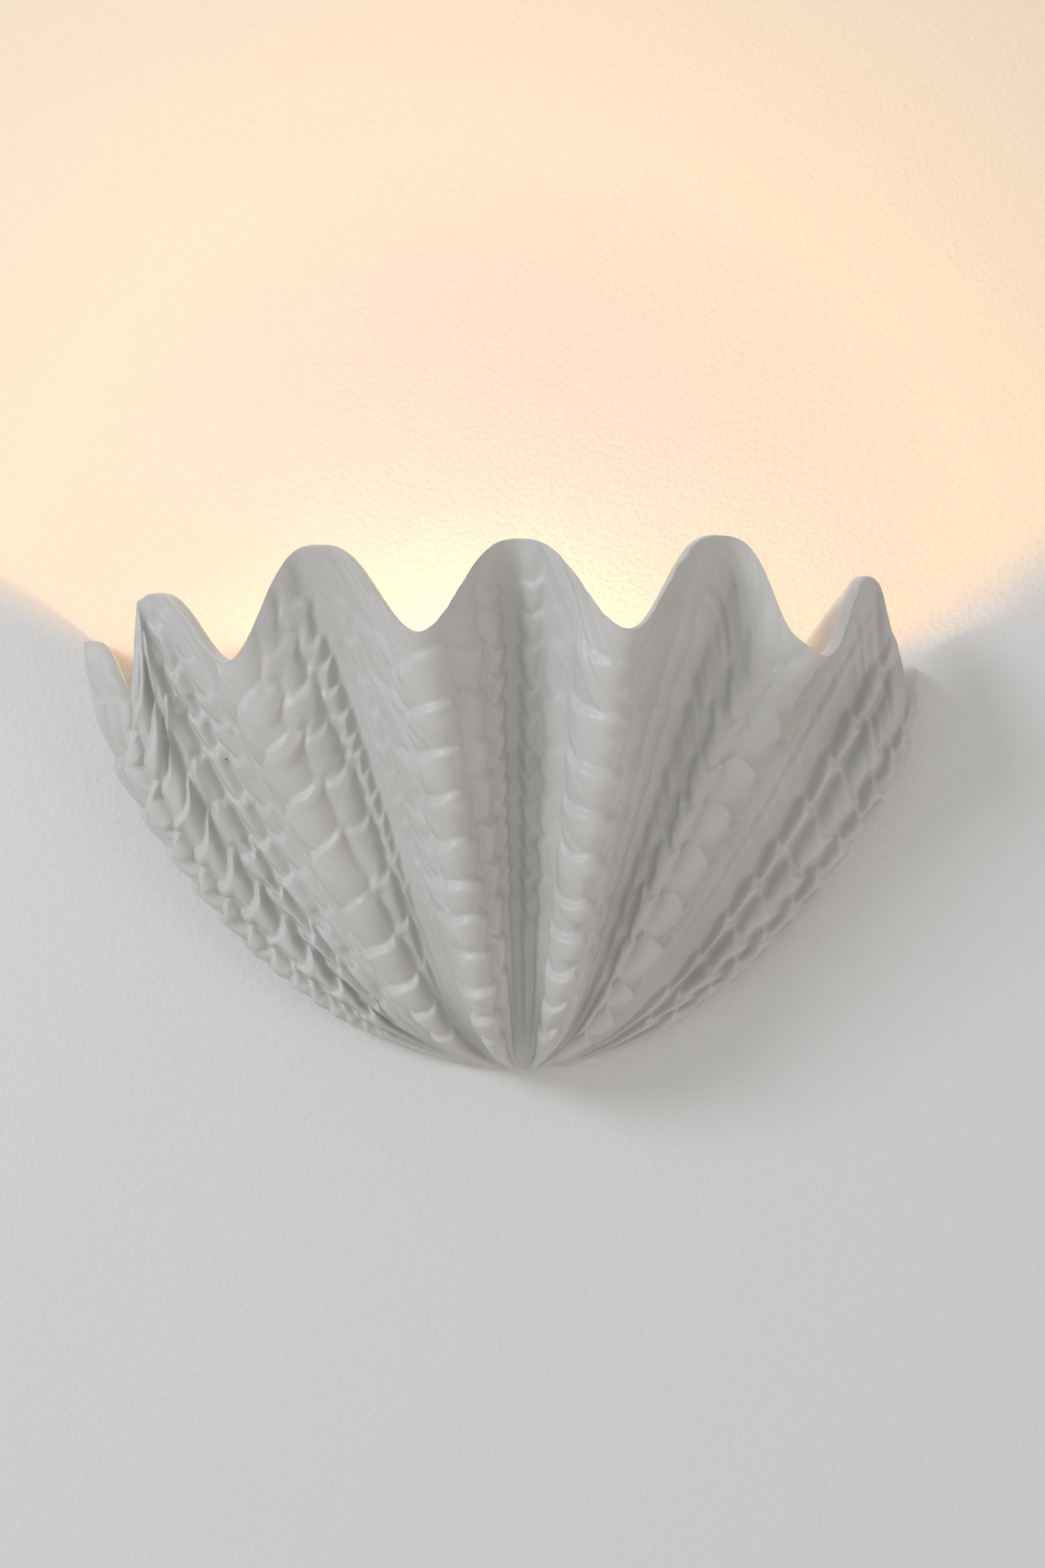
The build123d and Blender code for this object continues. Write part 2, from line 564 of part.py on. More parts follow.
def holder_core():
    """Insulating disc that carries the screw shell and the middle contact."""
    radius = HOLDER_RADIUS - HOLDER_WALL
    core = rod(radius, CORE_THICK, (0, LAMP_Y, CORE_TOP_Z - CORE_THICK))
    pocket = CONTACT_Z - CONTACT_GAP - CONTACT_STRIP
    core -= rod(CAP_RADIUS, CORE_TOP_Z - pocket, (0, LAMP_Y, pocket))
    for x in core_screw_xs():
        core -= rod(CORE_SCREW_RADIUS + THREAD_GAP, CORE_THICK, (x, LAMP_Y, CORE_TOP_Z - CORE_THICK))
    return core


def core_screw_xs():
    reach = HOLDER_RADIUS - HOLDER_WALL - 1.75 * CORE_SCREW_RADIUS
    return (-reach, reach)


def holder_screw_shell():
    """Brass screw shell with a foot ring on the core."""
    bore = CAP_RADIUS + CAP_GAP
    outside = bore + SCREW_SHELL_WALL
    top = HOLDER_TOP_Z - SLEEVE_LIP
    ring = outside + CONTACT_FOOT
    return revolved([(bore, CORE_TOP_Z), (ring, CORE_TOP_Z), (ring, CORE_TOP_Z + SCREW_SHELL_WALL),
                     (outside, CORE_TOP_Z + SCREW_SHELL_WALL), (outside, top), (bore, top)])


def holder_middle_contact():
    """Brass strip under the bulb's contact."""
    top = CONTACT_Z - CONTACT_GAP
    return block((-CAP_RADIUS + 1.5, LAMP_Y - 2, top - CONTACT_STRIP), (CAP_RADIUS - 1.5, LAMP_Y + 2, top))


def holder_core_screws():
    made = []
    for x in core_screw_xs():
        at = (x, LAMP_Y, CORE_TOP_Z)
        made.append(rod(CORE_SCREW_RADIUS, CORE_THICK, (x, LAMP_Y, CORE_TOP_Z - CORE_THICK))
                    + rod(CORE_SCREW_RADIUS * 1.5, 1.0, at))
    return made


def holder_nipple():
    """Hollow threaded tube that clamps the lampholder to the arm."""
    top = ARM_TOP_Z + HOLDER_WALL + NIPPLE_NUT_HEIGHT
    foot = ARM_BOTTOM_Z - WASHER_THICK - NIPPLE_NUT_HEIGHT
    return tube(NIPPLE_RADIUS, NIPPLE_BORE, top - foot, (0, LAMP_Y, foot))


def nipple_nut(z):
    return hexagon(NIPPLE_RADIUS * 1.6, NIPPLE_NUT_HEIGHT, (0, LAMP_Y, z), bore=NIPPLE_RADIUS + THREAD_GAP)


def nipple_washer():
    return tube(NIPPLE_RADIUS * 1.5, NIPPLE_RADIUS + CLEAR_GAP, WASHER_THICK,
                (0, LAMP_Y, ARM_BOTTOM_Z - WASHER_THICK))


# ---------------------------------------------------------------- bulb
def bulb_contact():
    return revolved([(0, CONTACT_Z), (2.0, CONTACT_Z), (2.4, CONTACT_Z + 0.4), (2.4, CONTACT_Z + 0.9),
                     (0, CONTACT_Z + 0.9)])


def bulb_insulator():
    low = CONTACT_Z + 0.9 + 0.02
    return revolved([(0, low), (2.6, low), (CAP_RADIUS - 1.4, INSULATOR_TOP_Z), (0, INSULATOR_TOP_Z)])


def bulb_cap():
    """Metal screw cap, drawn smooth: its thread stays inside the gap to the screw shell."""
    inside, foot = CAP_RADIUS - CAP_WALL, CAP_RADIUS - 1.4
    return revolved([(foot, INSULATOR_TOP_Z), (CAP_RADIUS, INSULATOR_TOP_Z + 1.6), (CAP_RADIUS, CAP_TOP_Z),
                     (inside, CAP_TOP_Z), (inside, INSULATOR_TOP_Z + 1.8),
                     (foot - CAP_WALL, INSULATOR_TOP_Z)])


def bulb_outline(inset):
    """Filled outline of the envelope, moved in by a wall thickness."""
    angle = math.radians(FLARE_ANGLE)
    radius, neck = BULB_RADIUS - inset, bulb_neck() - inset
    foot, shoulder = (neck, 0, CAP_TOP_Z - NECK_DEPTH), (neck, 0, CAP_TOP_Z + 0.6)
    low = (radius * math.sin(angle), 0, BULB_MIDDLE_Z - radius * math.cos(angle))
    top, middle = (0, 0, BULB_MIDDLE_Z + radius), (radius, 0, BULB_MIDDLE_Z)
    centre = (0, 0, foot[2])
    flare = Spline(shoulder, low, tangents=((0, 0, 1), (math.cos(angle), 0, math.sin(angle))))
    sides = [Line(foot, shoulder), flare, ThreePointArc(low, middle, top), Line(top, centre)]
    sides.append(Line(centre, foot))
    outline = make_face(Wire([edge for side in sides for edge in side.edges()]))
    return Pos(0, LAMP_Y, 0) * revolve(outline, Axis.Z, 360)


def bulb_neck():
    return CAP_RADIUS - CAP_WALL - 0.05


def bulb_glass():
    """Golf-ball envelope: the neck sits in the cap and flares into the ball."""
    return bulb_outline(0) - bulb_outline(GLASS_WALL)


def bulb_stem():
    """Glass stem that closes the neck and carries the filaments."""
    foot = CAP_TOP_Z - NECK_DEPTH
    neck = bulb_neck() - GLASS_WALL
    return revolved([(0, foot), (neck, foot), (neck, foot + 1), (2.6, foot + 4), (1.8, FILAMENT_Z - 2),
                     (0, FILAMENT_Z - 2)])


def filament_places():
    for step in range(FILAMENT_COUNT):
        angle = 2 * math.pi * (step + 0.5) / FILAMENT_COUNT
        yield FILAMENT_RING * math.cos(angle), LAMP_Y + FILAMENT_RING * math.sin(angle)


def bulb_filaments():
    return [rod(FILAMENT_RADIUS, FILAMENT_LENGTH, (x, y, FILAMENT_Z)) for x, y in filament_places()]


def bulb_supports():
    """Spider wires under the filaments and the ring wire above them."""
    hub_z = FILAMENT_Z - 2
    hub = rod(1.8, 1.2, (0, LAMP_Y, hub_z))
    for x, y in filament_places():
        length = math.hypot(x, y - LAMP_Y)
        angle = math.degrees(math.atan2(y - LAMP_Y, x))
        arm = Pos(0, LAMP_Y, hub_z + 0.6) * Rot(0, 0, angle) * rod(0.35, length, (0, 0, 0), (0, 90, 0))
        hub += arm + rod(0.35, FILAMENT_Z - hub_z - 0.6, (x, y, hub_z + 0.6))
    return hub


# ---------------------------------------------------------------- wiring
def pole_xs():
    return (BLOCK_X - POLE_PITCH / 2, BLOCK_X + POLE_PITCH / 2)


def lead_ys():
    return (LAMP_Y + LEAD_SPREAD, LAMP_Y - LEAD_SPREAD)


def terminal_block():
    low = (BLOCK_X - BLOCK_WIDTH / 2, PLATE_INNER, BLOCK_FOOT_Z)
    high = (BLOCK_X + BLOCK_WIDTH / 2, BLOCK_BACK, BLOCK_FOOT_Z + BLOCK_HEIGHT)
    body = fillet(block(low, high).edges().filter_by(Axis.Y), 1.5)
    for x in pole_xs():
        body -= rod(POLE_RADIUS, BLOCK_HEIGHT, (x, POLE_Y, BLOCK_FOOT_Z))
        for z in pole_screw_zs():
            body -= rod(DRIVER_HOLE_RADIUS, BLOCK_DEPTH / 2, (x, BLOCK_BACK, z), OUTWARD)
    body -= rod(POLE_SCREW_RADIUS + CLEAR_GAP, BLOCK_DEPTH, (BLOCK_X, BLOCK_BACK, BLOCK_Z), OUTWARD)
    return body


def pole_screw_zs():
    return (BLOCK_Z - POLE_SCREW_PITCH / 2, BLOCK_Z + POLE_SCREW_PITCH / 2)


def terminal_barrels():
    """Brass barrels: a lead enters below, the supply above, and two screws clamp them."""
    made = []
    for x in pole_xs():
        foot = (x, POLE_Y, BLOCK_FOOT_Z + BARREL_SETBACK)
        barrel = tube(POLE_RADIUS, LEAD_RADIUS + THREAD_GAP, BLOCK_HEIGHT - 2 * BARREL_SETBACK, foot)
        for z in pole_screw_zs():
            barrel -= rod(POLE_SCREW_RADIUS + THREAD_GAP, POLE_RADIUS, (x, POLE_Y + POLE_RADIUS, z), OUTWARD)
        made.append(barrel)
    return made


def terminal_screws():
    length = BLOCK_BACK - POLE_Y - LEAD_RADIUS - 2 * THREAD_GAP
    return [rod(POLE_SCREW_RADIUS, length, (x, BLOCK_BACK, z), OUTWARD)
            for x in pole_xs() for z in pole_screw_zs()]


def block_screw():
    """Holds the terminal block to the back plate, driven from the wall side."""
    shank = rod(POLE_SCREW_RADIUS, BLOCK_DEPTH + SHEET, (BLOCK_X, BLOCK_BACK, BLOCK_Z), OUTWARD)
    top = (BLOCK_X, BLOCK_BACK, BLOCK_Z)
    return shank + rod(POLE_SCREW_RADIUS * HEAD_RATIO, POLE_SCREW_RADIUS, top, (-90, 0, 0))


def power_lead(pole, name):
    """Lead from inside the lampholder, through its grommet, up into its terminal."""
    x, y = pole_xs()[pole], lead_ys()[pole]
    start = HOLDER_RADIUS - HOLDER_WALL - LEAD_TAIL
    top = BLOCK_FOOT_Z + BARREL_SETBACK + LEAD_GRIP
    route = [(start, y, LEAD_Z), (x, y, LEAD_Z), (x, POLE_Y, LEAD_Z), (x, POLE_Y, top)]
    return lead(name, route, POLE_Y - PLATE_INNER)


def lead_grommets():
    made = []
    for x in pole_xs():
        body = tube(GROMMET_RADIUS, LEAD_RADIUS, SHEET, (x, PLATE_INNER, LEAD_Z), OUTWARD)
        flange = tube(GROMMET_FLANGE, LEAD_RADIUS, GROMMET_THICK, (x, PLATE_FRONT, LEAD_Z), OUTWARD)
        made.append(body + flange)
    return made


def earth_stud():
    """Screw through the back plate from the front, whose tail takes the earth lead."""
    return screw(EARTH_SCREW_RADIUS, SHEET + EARTH_LUG_THICK + EARTH_TAIL, (EARTH_X, PLATE_FRONT, EARTH_Z))


def earth_nut():
    height = EARTH_SCREW_RADIUS * NUT_HEIGHT_RATIO
    at = (EARTH_X, PLATE_INNER + EARTH_LUG_THICK + height, EARTH_Z)
    return hexagon(EARTH_SCREW_RADIUS * NUT_RATIO, height, at, OUTWARD, EARTH_SCREW_RADIUS + THREAD_GAP)


def ring_lug(at, facing, along):
    """Ring terminal on a face, with its crimp barrel pointing along the lead."""
    ring = tube(EARTH_LUG_RADIUS, EARTH_SCREW_RADIUS + CLEAR_GAP, EARTH_LUG_THICK, (0, 0, 0))
    neck = block((EARTH_LUG_RADIUS - EARTH_LUG_THICK, -CRIMP_RADIUS, 0),
                 (EARTH_LUG_RADIUS + CRIMP_RADIUS, CRIMP_RADIUS, EARTH_LUG_THICK))
    crimp = (EARTH_LUG_RADIUS + CRIMP_SETBACK, 0, CRIMP_RADIUS)
    barrel = rod(CRIMP_RADIUS, CRIMP_LENGTH, crimp, (0, 90, 0))
    bore = rod(LEAD_RADIUS, CRIMP_LENGTH, crimp, (0, 90, 0))
    return Plane(at, x_dir=along, z_dir=facing) * (ring + neck + barrel - bore)


def earth_lugs():
    return [ring_lug((EARTH_X, PLATE_INNER, EARTH_Z), (0, 1, 0), (0, 0, 1)),
            ring_lug((earth_strap_x(), STRAP_FACE, EARTH_HOLE_Z), (0, -1, 0), (-1, 0, 0))]


def earth_lead():
    """Lead from the back plate's earth screw up to the one on the strap."""
    plate_y, strap_y = PLATE_INNER + CRIMP_RADIUS, STRAP_FACE - CRIMP_RADIUS
    reach = EARTH_LUG_RADIUS + CRIMP_SETBACK + 1
    start = (EARTH_X, plate_y, EARTH_Z + reach)
    end = (earth_strap_x() - reach, strap_y, EARTH_HOLE_Z)
    bend_z = EARTH_HOLE_Z - EARTH_BEND_DROP
    return lead("earth_lead", [start, (EARTH_X, plate_y, bend_z), (EARTH_X, strap_y, EARTH_HOLE_Z), end])


def strap_earth_screw():
    x = earth_strap_x()
    face = STRAP_FACE - EARTH_LUG_THICK
    shank = rod(EARTH_SCREW_RADIUS, STRAP_THICK + EARTH_LUG_THICK, (x, 0, EARTH_HOLE_Z), OUTWARD)
    return shank + head(EARTH_SCREW_RADIUS * 1.7, 2.0, (x, face, EARTH_HOLE_Z), OUTWARD)


# ---------------------------------------------------------------- writing the parts
def parts():
    inner_nut_z = ARM_TOP_Z + HOLDER_WALL
    outer_nut_z = ARM_BOTTOM_Z - WASHER_THICK - NIPPLE_NUT_HEIGHT
    return {
        "shell_shade": shell_shade(),
        "hanger_bar": hanger_bar(),
        "lug_inserts_left": inserts(-1),
        "lug_inserts_right": inserts(1),
        "hanger_screws_left": bar_screws(-1),
        "hanger_screws_right": bar_screws(1),
        "wall_pad_left": wall_pad(-1),
        "wall_pad_right": wall_pad(1),
        "mounting_strap": mounting_strap(),
        "back_plate": back_plate(),
        "plate_screws": plate_screws(),
        "hook_stud_left": hook_stud(-1),
        "hook_stud_right": hook_stud(1),
        "hook_stud_nuts": hook_stud_nuts(),
        "lamp_bracket": lamp_bracket(),
        "bracket_screws": bracket_screws(),
        "bracket_nuts": bracket_nuts(),
        "holder_base": holder_base(),
        "holder_sleeve": holder_sleeve(),
        "holder_core": holder_core(),
        "holder_core_screws": holder_core_screws(),
        "holder_screw_shell": holder_screw_shell(),
        "holder_middle_contact": holder_middle_contact(),
        "holder_nipple": holder_nipple(),
        "nipple_washer": nipple_washer(),
        "nipple_nut_outer": nipple_nut(outer_nut_z),
        "nipple_nut_inner": nipple_nut(inner_nut_z),
        "bulb_glass": bulb_glass(),
        "bulb_cap": bulb_cap(),
        "bulb_insulator": bulb_insulator(),
        "bulb_contact": bulb_contact(),
        "bulb_stem": bulb_stem(),
        "bulb_supports": bulb_supports(),
        "bulb_filaments": bulb_filaments(),
        "terminal_block": terminal_block(),
        "terminal_barrels": terminal_barrels(),
        "terminal_screws": terminal_screws(),
        "block_screw": block_screw(),
        "lead_live": power_lead(0, "lead_live"),
        "lead_neutral": power_lead(1, "lead_neutral"),
        "lead_grommets": lead_grommets(),
        "earth_stud": earth_stud(),
        "earth_nut": earth_nut(),
        "earth_lugs": earth_lugs(),
        "earth_lead": earth_lead(),
        "strap_earth_screw": strap_earth_screw(),
    }


def main():
    os.makedirs("parts", exist_ok=True)
    for name, shape in parts().items():
        solids = []
        for piece in shape if isinstance(shape, list) else [shape]:
            solids.extend(piece.solids())
        export_step(Compound(children=solids) if len(solids) > 1 else solids[0], f"parts/{name}.step")
        print(name, len(solids), round(sum(solid.volume for solid in solids), 1))


if __name__ == "__main__":
    main()
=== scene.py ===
"""Looks of the shell wall sconce: the cast relief of the shell, its finishes, the wall and the light.

Metres, in the frame of the CAD: +Z up, -Y out of the wall, +X to the right as seen from the room.
"""

import json
import math

import bmesh
import bpy
import numpy as np
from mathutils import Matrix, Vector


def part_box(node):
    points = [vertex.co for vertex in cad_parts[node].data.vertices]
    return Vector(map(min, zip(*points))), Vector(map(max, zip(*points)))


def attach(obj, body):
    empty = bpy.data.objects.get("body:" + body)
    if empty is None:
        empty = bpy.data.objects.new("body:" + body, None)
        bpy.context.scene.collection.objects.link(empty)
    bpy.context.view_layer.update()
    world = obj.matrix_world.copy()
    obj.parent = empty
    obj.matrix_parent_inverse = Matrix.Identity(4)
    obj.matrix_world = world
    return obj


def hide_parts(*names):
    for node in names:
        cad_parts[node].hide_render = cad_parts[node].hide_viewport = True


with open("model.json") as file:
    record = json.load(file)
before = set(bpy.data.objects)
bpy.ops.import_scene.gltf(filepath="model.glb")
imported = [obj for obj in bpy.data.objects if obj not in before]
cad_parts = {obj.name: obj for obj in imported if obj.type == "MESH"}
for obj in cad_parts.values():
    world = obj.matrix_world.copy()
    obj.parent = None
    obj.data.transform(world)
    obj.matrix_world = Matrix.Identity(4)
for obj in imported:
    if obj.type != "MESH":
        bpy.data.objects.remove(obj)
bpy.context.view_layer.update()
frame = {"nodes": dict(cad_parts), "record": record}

MM = 0.001


# ---------------------------------------------------------------- the shell's main surface
# The driving dimensions and rules of the cast shell in the CAD, in millimetres, with one entry per
# fold from the left end to the right end: even entries are grooves, whose rim stands high, and odd
# ones are ribs, whose rim dips. The second rib (the fourth entry of FOLD_ACROSS and of FOLD_UP) and
# RIM_CHANGES leave the CAD a little, to follow the cast rim.
SHELL_LEFT, SHELL_RIGHT, SHELL_DEPTH = 211.0, 188.0, 150.0
SHELL_FOOT_Z, SHELL_RIM_Z = -115.0, 124.0
SHELL_WALL, SHELL_FLOOR = 6.0, 7.0
RIM_ROUNDNESS, BOWL_POWER, FOOT_SPREAD = 1.4, 1.64, 12
FRONT_START, FOOT_SHARE = 0.42, 0.02
FOLD_ACROSS = [-1.0, -0.868, -0.806, -0.605, -0.424, -0.205, -0.006,
               0.233, 0.456, 0.696, 0.852, 0.97, 1.0]
FOLD_OUT = [0.0, 0.25, 0.33, 0.70, 0.75, 1.0, 0.83, 1.0, 0.75, 0.70, 0.33, 0.20, 0.0]
FOLD_UP = [0.85, 0.72, 0.928, 0.787, 0.991, 0.825, 0.996, 0.83, 1.008, 0.796, 0.96, 0.712, 0.80]
FOLD_START = [0.30, 0.30, 0.28, 0.27, 0.25, 0.30, 0.30, 0.34, 0.20, 0.17, 0.16, 0.20, 0.20]
FOLD_FLARE = [0.0, 0.0, 0.02, 0.03, 0.03, 0.10, 0.0, 0.02, 0.02, 0.10, 0.02, 0.0, 0.0]
FOLD_BULGE = [1.0, 0.90, 0.35, 0.06, 0.0, 0.0, 0.0, 0.0, 0.0, 0.0, 0.12, 0.72, 0.84]
FOLDS = len(FOLD_ACROSS) - 1
# Where the cast rim leaves the rule: fold, half width in folds and share of the height.
RIM_CHANGES = [(8.58, 0.19, -0.042), (1.42, 0.22, 0.075), (10.38, 0.16, -0.035)]
# Steps in fold and height, about a millimetre each, over which the smooth face's slope is measured.
FOLD_STEP, HEIGHT_STEP = 1 / 60, 1 / 240
ABOVE_FOOT = 0.001        # the lowest height at which there is a slope


def smooth(values, fold):
    """Curve through one value per fold, without corners."""
    ends = np.array([2 * values[0] - values[1], *values, 2 * values[-1] - values[-2]])
    index = np.clip(np.floor(fold).astype(int), 0, FOLDS - 1)
    share = fold - index
    before, here, there, after = (ends[index + step] for step in range(4))
    square = 2 * before - 5 * here + 4 * there - after
    cube = 3 * here - before - 3 * there + after
    return 0.5 * (2 * here + (there - before) * share + square * share**2 + cube * share**3)


def scallop(values, fold):
    """Curve with a level point at every fold, broad at the grooves and narrow at the ribs."""
    values = np.array(values)
    index = np.clip(np.floor(fold).astype(int), 0, FOLDS - 1)
    rib_first = index % 2 == 1
    from_rib = np.where(rib_first, fold - index, 1 - fold + index)
    low = np.where(rib_first, values[index], values[index + 1])
    high = np.where(rib_first, values[index + 1], values[index])
    rise = (1 - np.cos(np.pi * from_rib)) / 2
    return low + (high - low) * (1 - (1 - rise) ** RIM_ROUNDNESS)


def rim_height(fold):
    """Height of the rim as a share of the shell's height."""
    made = scallop(FOLD_UP, fold)
    for middle, width, change in RIM_CHANGES:
        made = made + change * np.exp(-((fold - middle) / width) ** 2)
    return made


def fan(share, start, flare):
    """How far out a fold has come at a share of its height."""
    quick = 1 - (1 - share) ** FOOT_SPREAD
    return start * quick + (1 - start - flare) * share + flare * share**FOOT_SPREAD


def outer_point(fold, height):
    """Points of the smooth outer face, fold from 0 to 12 and height from 0 to 1, in millimetres."""
    fold, height = np.clip(fold, 0, FOLDS), np.clip(height, 0, 1)
    share = FOOT_SHARE + (1 - FOOT_SHARE) * height
    across = smooth(FOLD_ACROSS, fold)
    rim_x = across * np.where(across < 0, SHELL_LEFT, SHELL_RIGHT)
    rim_y = -SHELL_DEPTH * smooth(FOLD_OUT, fold)
    rise = (SHELL_RIM_Z - SHELL_FOOT_Z) * rim_height(fold)
    bulge = smooth(FOLD_BULGE, fold)
    bowl = (1 - (1 - share) ** BOWL_POWER) ** (1 / BOWL_POWER)
    opened = fan(share, smooth(FOLD_START, fold), smooth(FOLD_FLARE, fold))
    x = rim_x * (bulge * bowl + (1 - bulge) * opened)
    return np.stack([x, rim_y * fan(share, FRONT_START, 0), SHELL_FOOT_Z + height * rise], -1)


def inner_point(fold, height):
    """The matching points of the inner face."""
    point = outer_point(fold, height)
    shrink = 1 - SHELL_WALL / np.hypot(point[..., 0], point[..., 1])
    lift = np.zeros_like(point)
    lift[..., 2] = SHELL_FLOOR * (1 - height)
    return point * np.stack([shrink, shrink, np.ones_like(shrink)], -1) + lift


def facing(fold, height):
    """Unit normals of the smooth outer face, from points a small step to each side."""
    low_f, high_f = (np.clip(fold + step, 0, FOLDS) for step in (-FOLD_STEP, FOLD_STEP))
    low_h, high_h = (np.clip(height + step, ABOVE_FOOT, 1) for step in (-HEIGHT_STEP, HEIGHT_STEP))
    across = outer_point(high_f, height) - outer_point(low_f, height)
    along = outer_point(fold, high_h) - outer_point(fold, low_h)
    return unit(np.cross(across, along))


def unit(vectors):
    """The same vectors, one unit long."""
    return vectors / np.maximum(np.linalg.norm(vectors, axis=-1, keepdims=True), 1e-9)


# ---------------------------------------------------------------- the relief of scales
FOLD_HEIGHT = 235.0  # length of a fold from the foot to the rim, near enough for its scales
HORN_POWER = 2.6     # how late a lip turns up towards its two ends


class Band:
    """A column of scales between two lines that run from the foot to the rim.

    right is its right-hand line as fold numbers near the rim, half way and near the foot. lips are
    the heights of the scales' upper edges, as shares of the fold's height at the column's middle.
    slope is how much higher a lip's right end stands than its middle, as a share of its height.
    """

    def __init__(self, right, lips=(), slope=0.0, lift=1.2, dome=0.5, horn=3.0):
        self.right, self.lips, self.slope = right, lips, slope
        self.lift, self.dome, self.horn = lift, dome, horn

    def own_height(self, level, rise, across, centre):
        """Height as the scales count it: lips slope, and rise in horns at both ends (across -1 and 1)."""
        horn = self.horn * np.abs(across) ** HORN_POWER / FOLD_HEIGHT
        return (level * rise * (1 - self.slope * across) - horn) / centre


def even(first, last, count):
    """Heights of lips that draw closer towards the foot."""
    ratio = (last / first) ** (1 / (count - 1))
    return [first * ratio**number for number in range(count)]


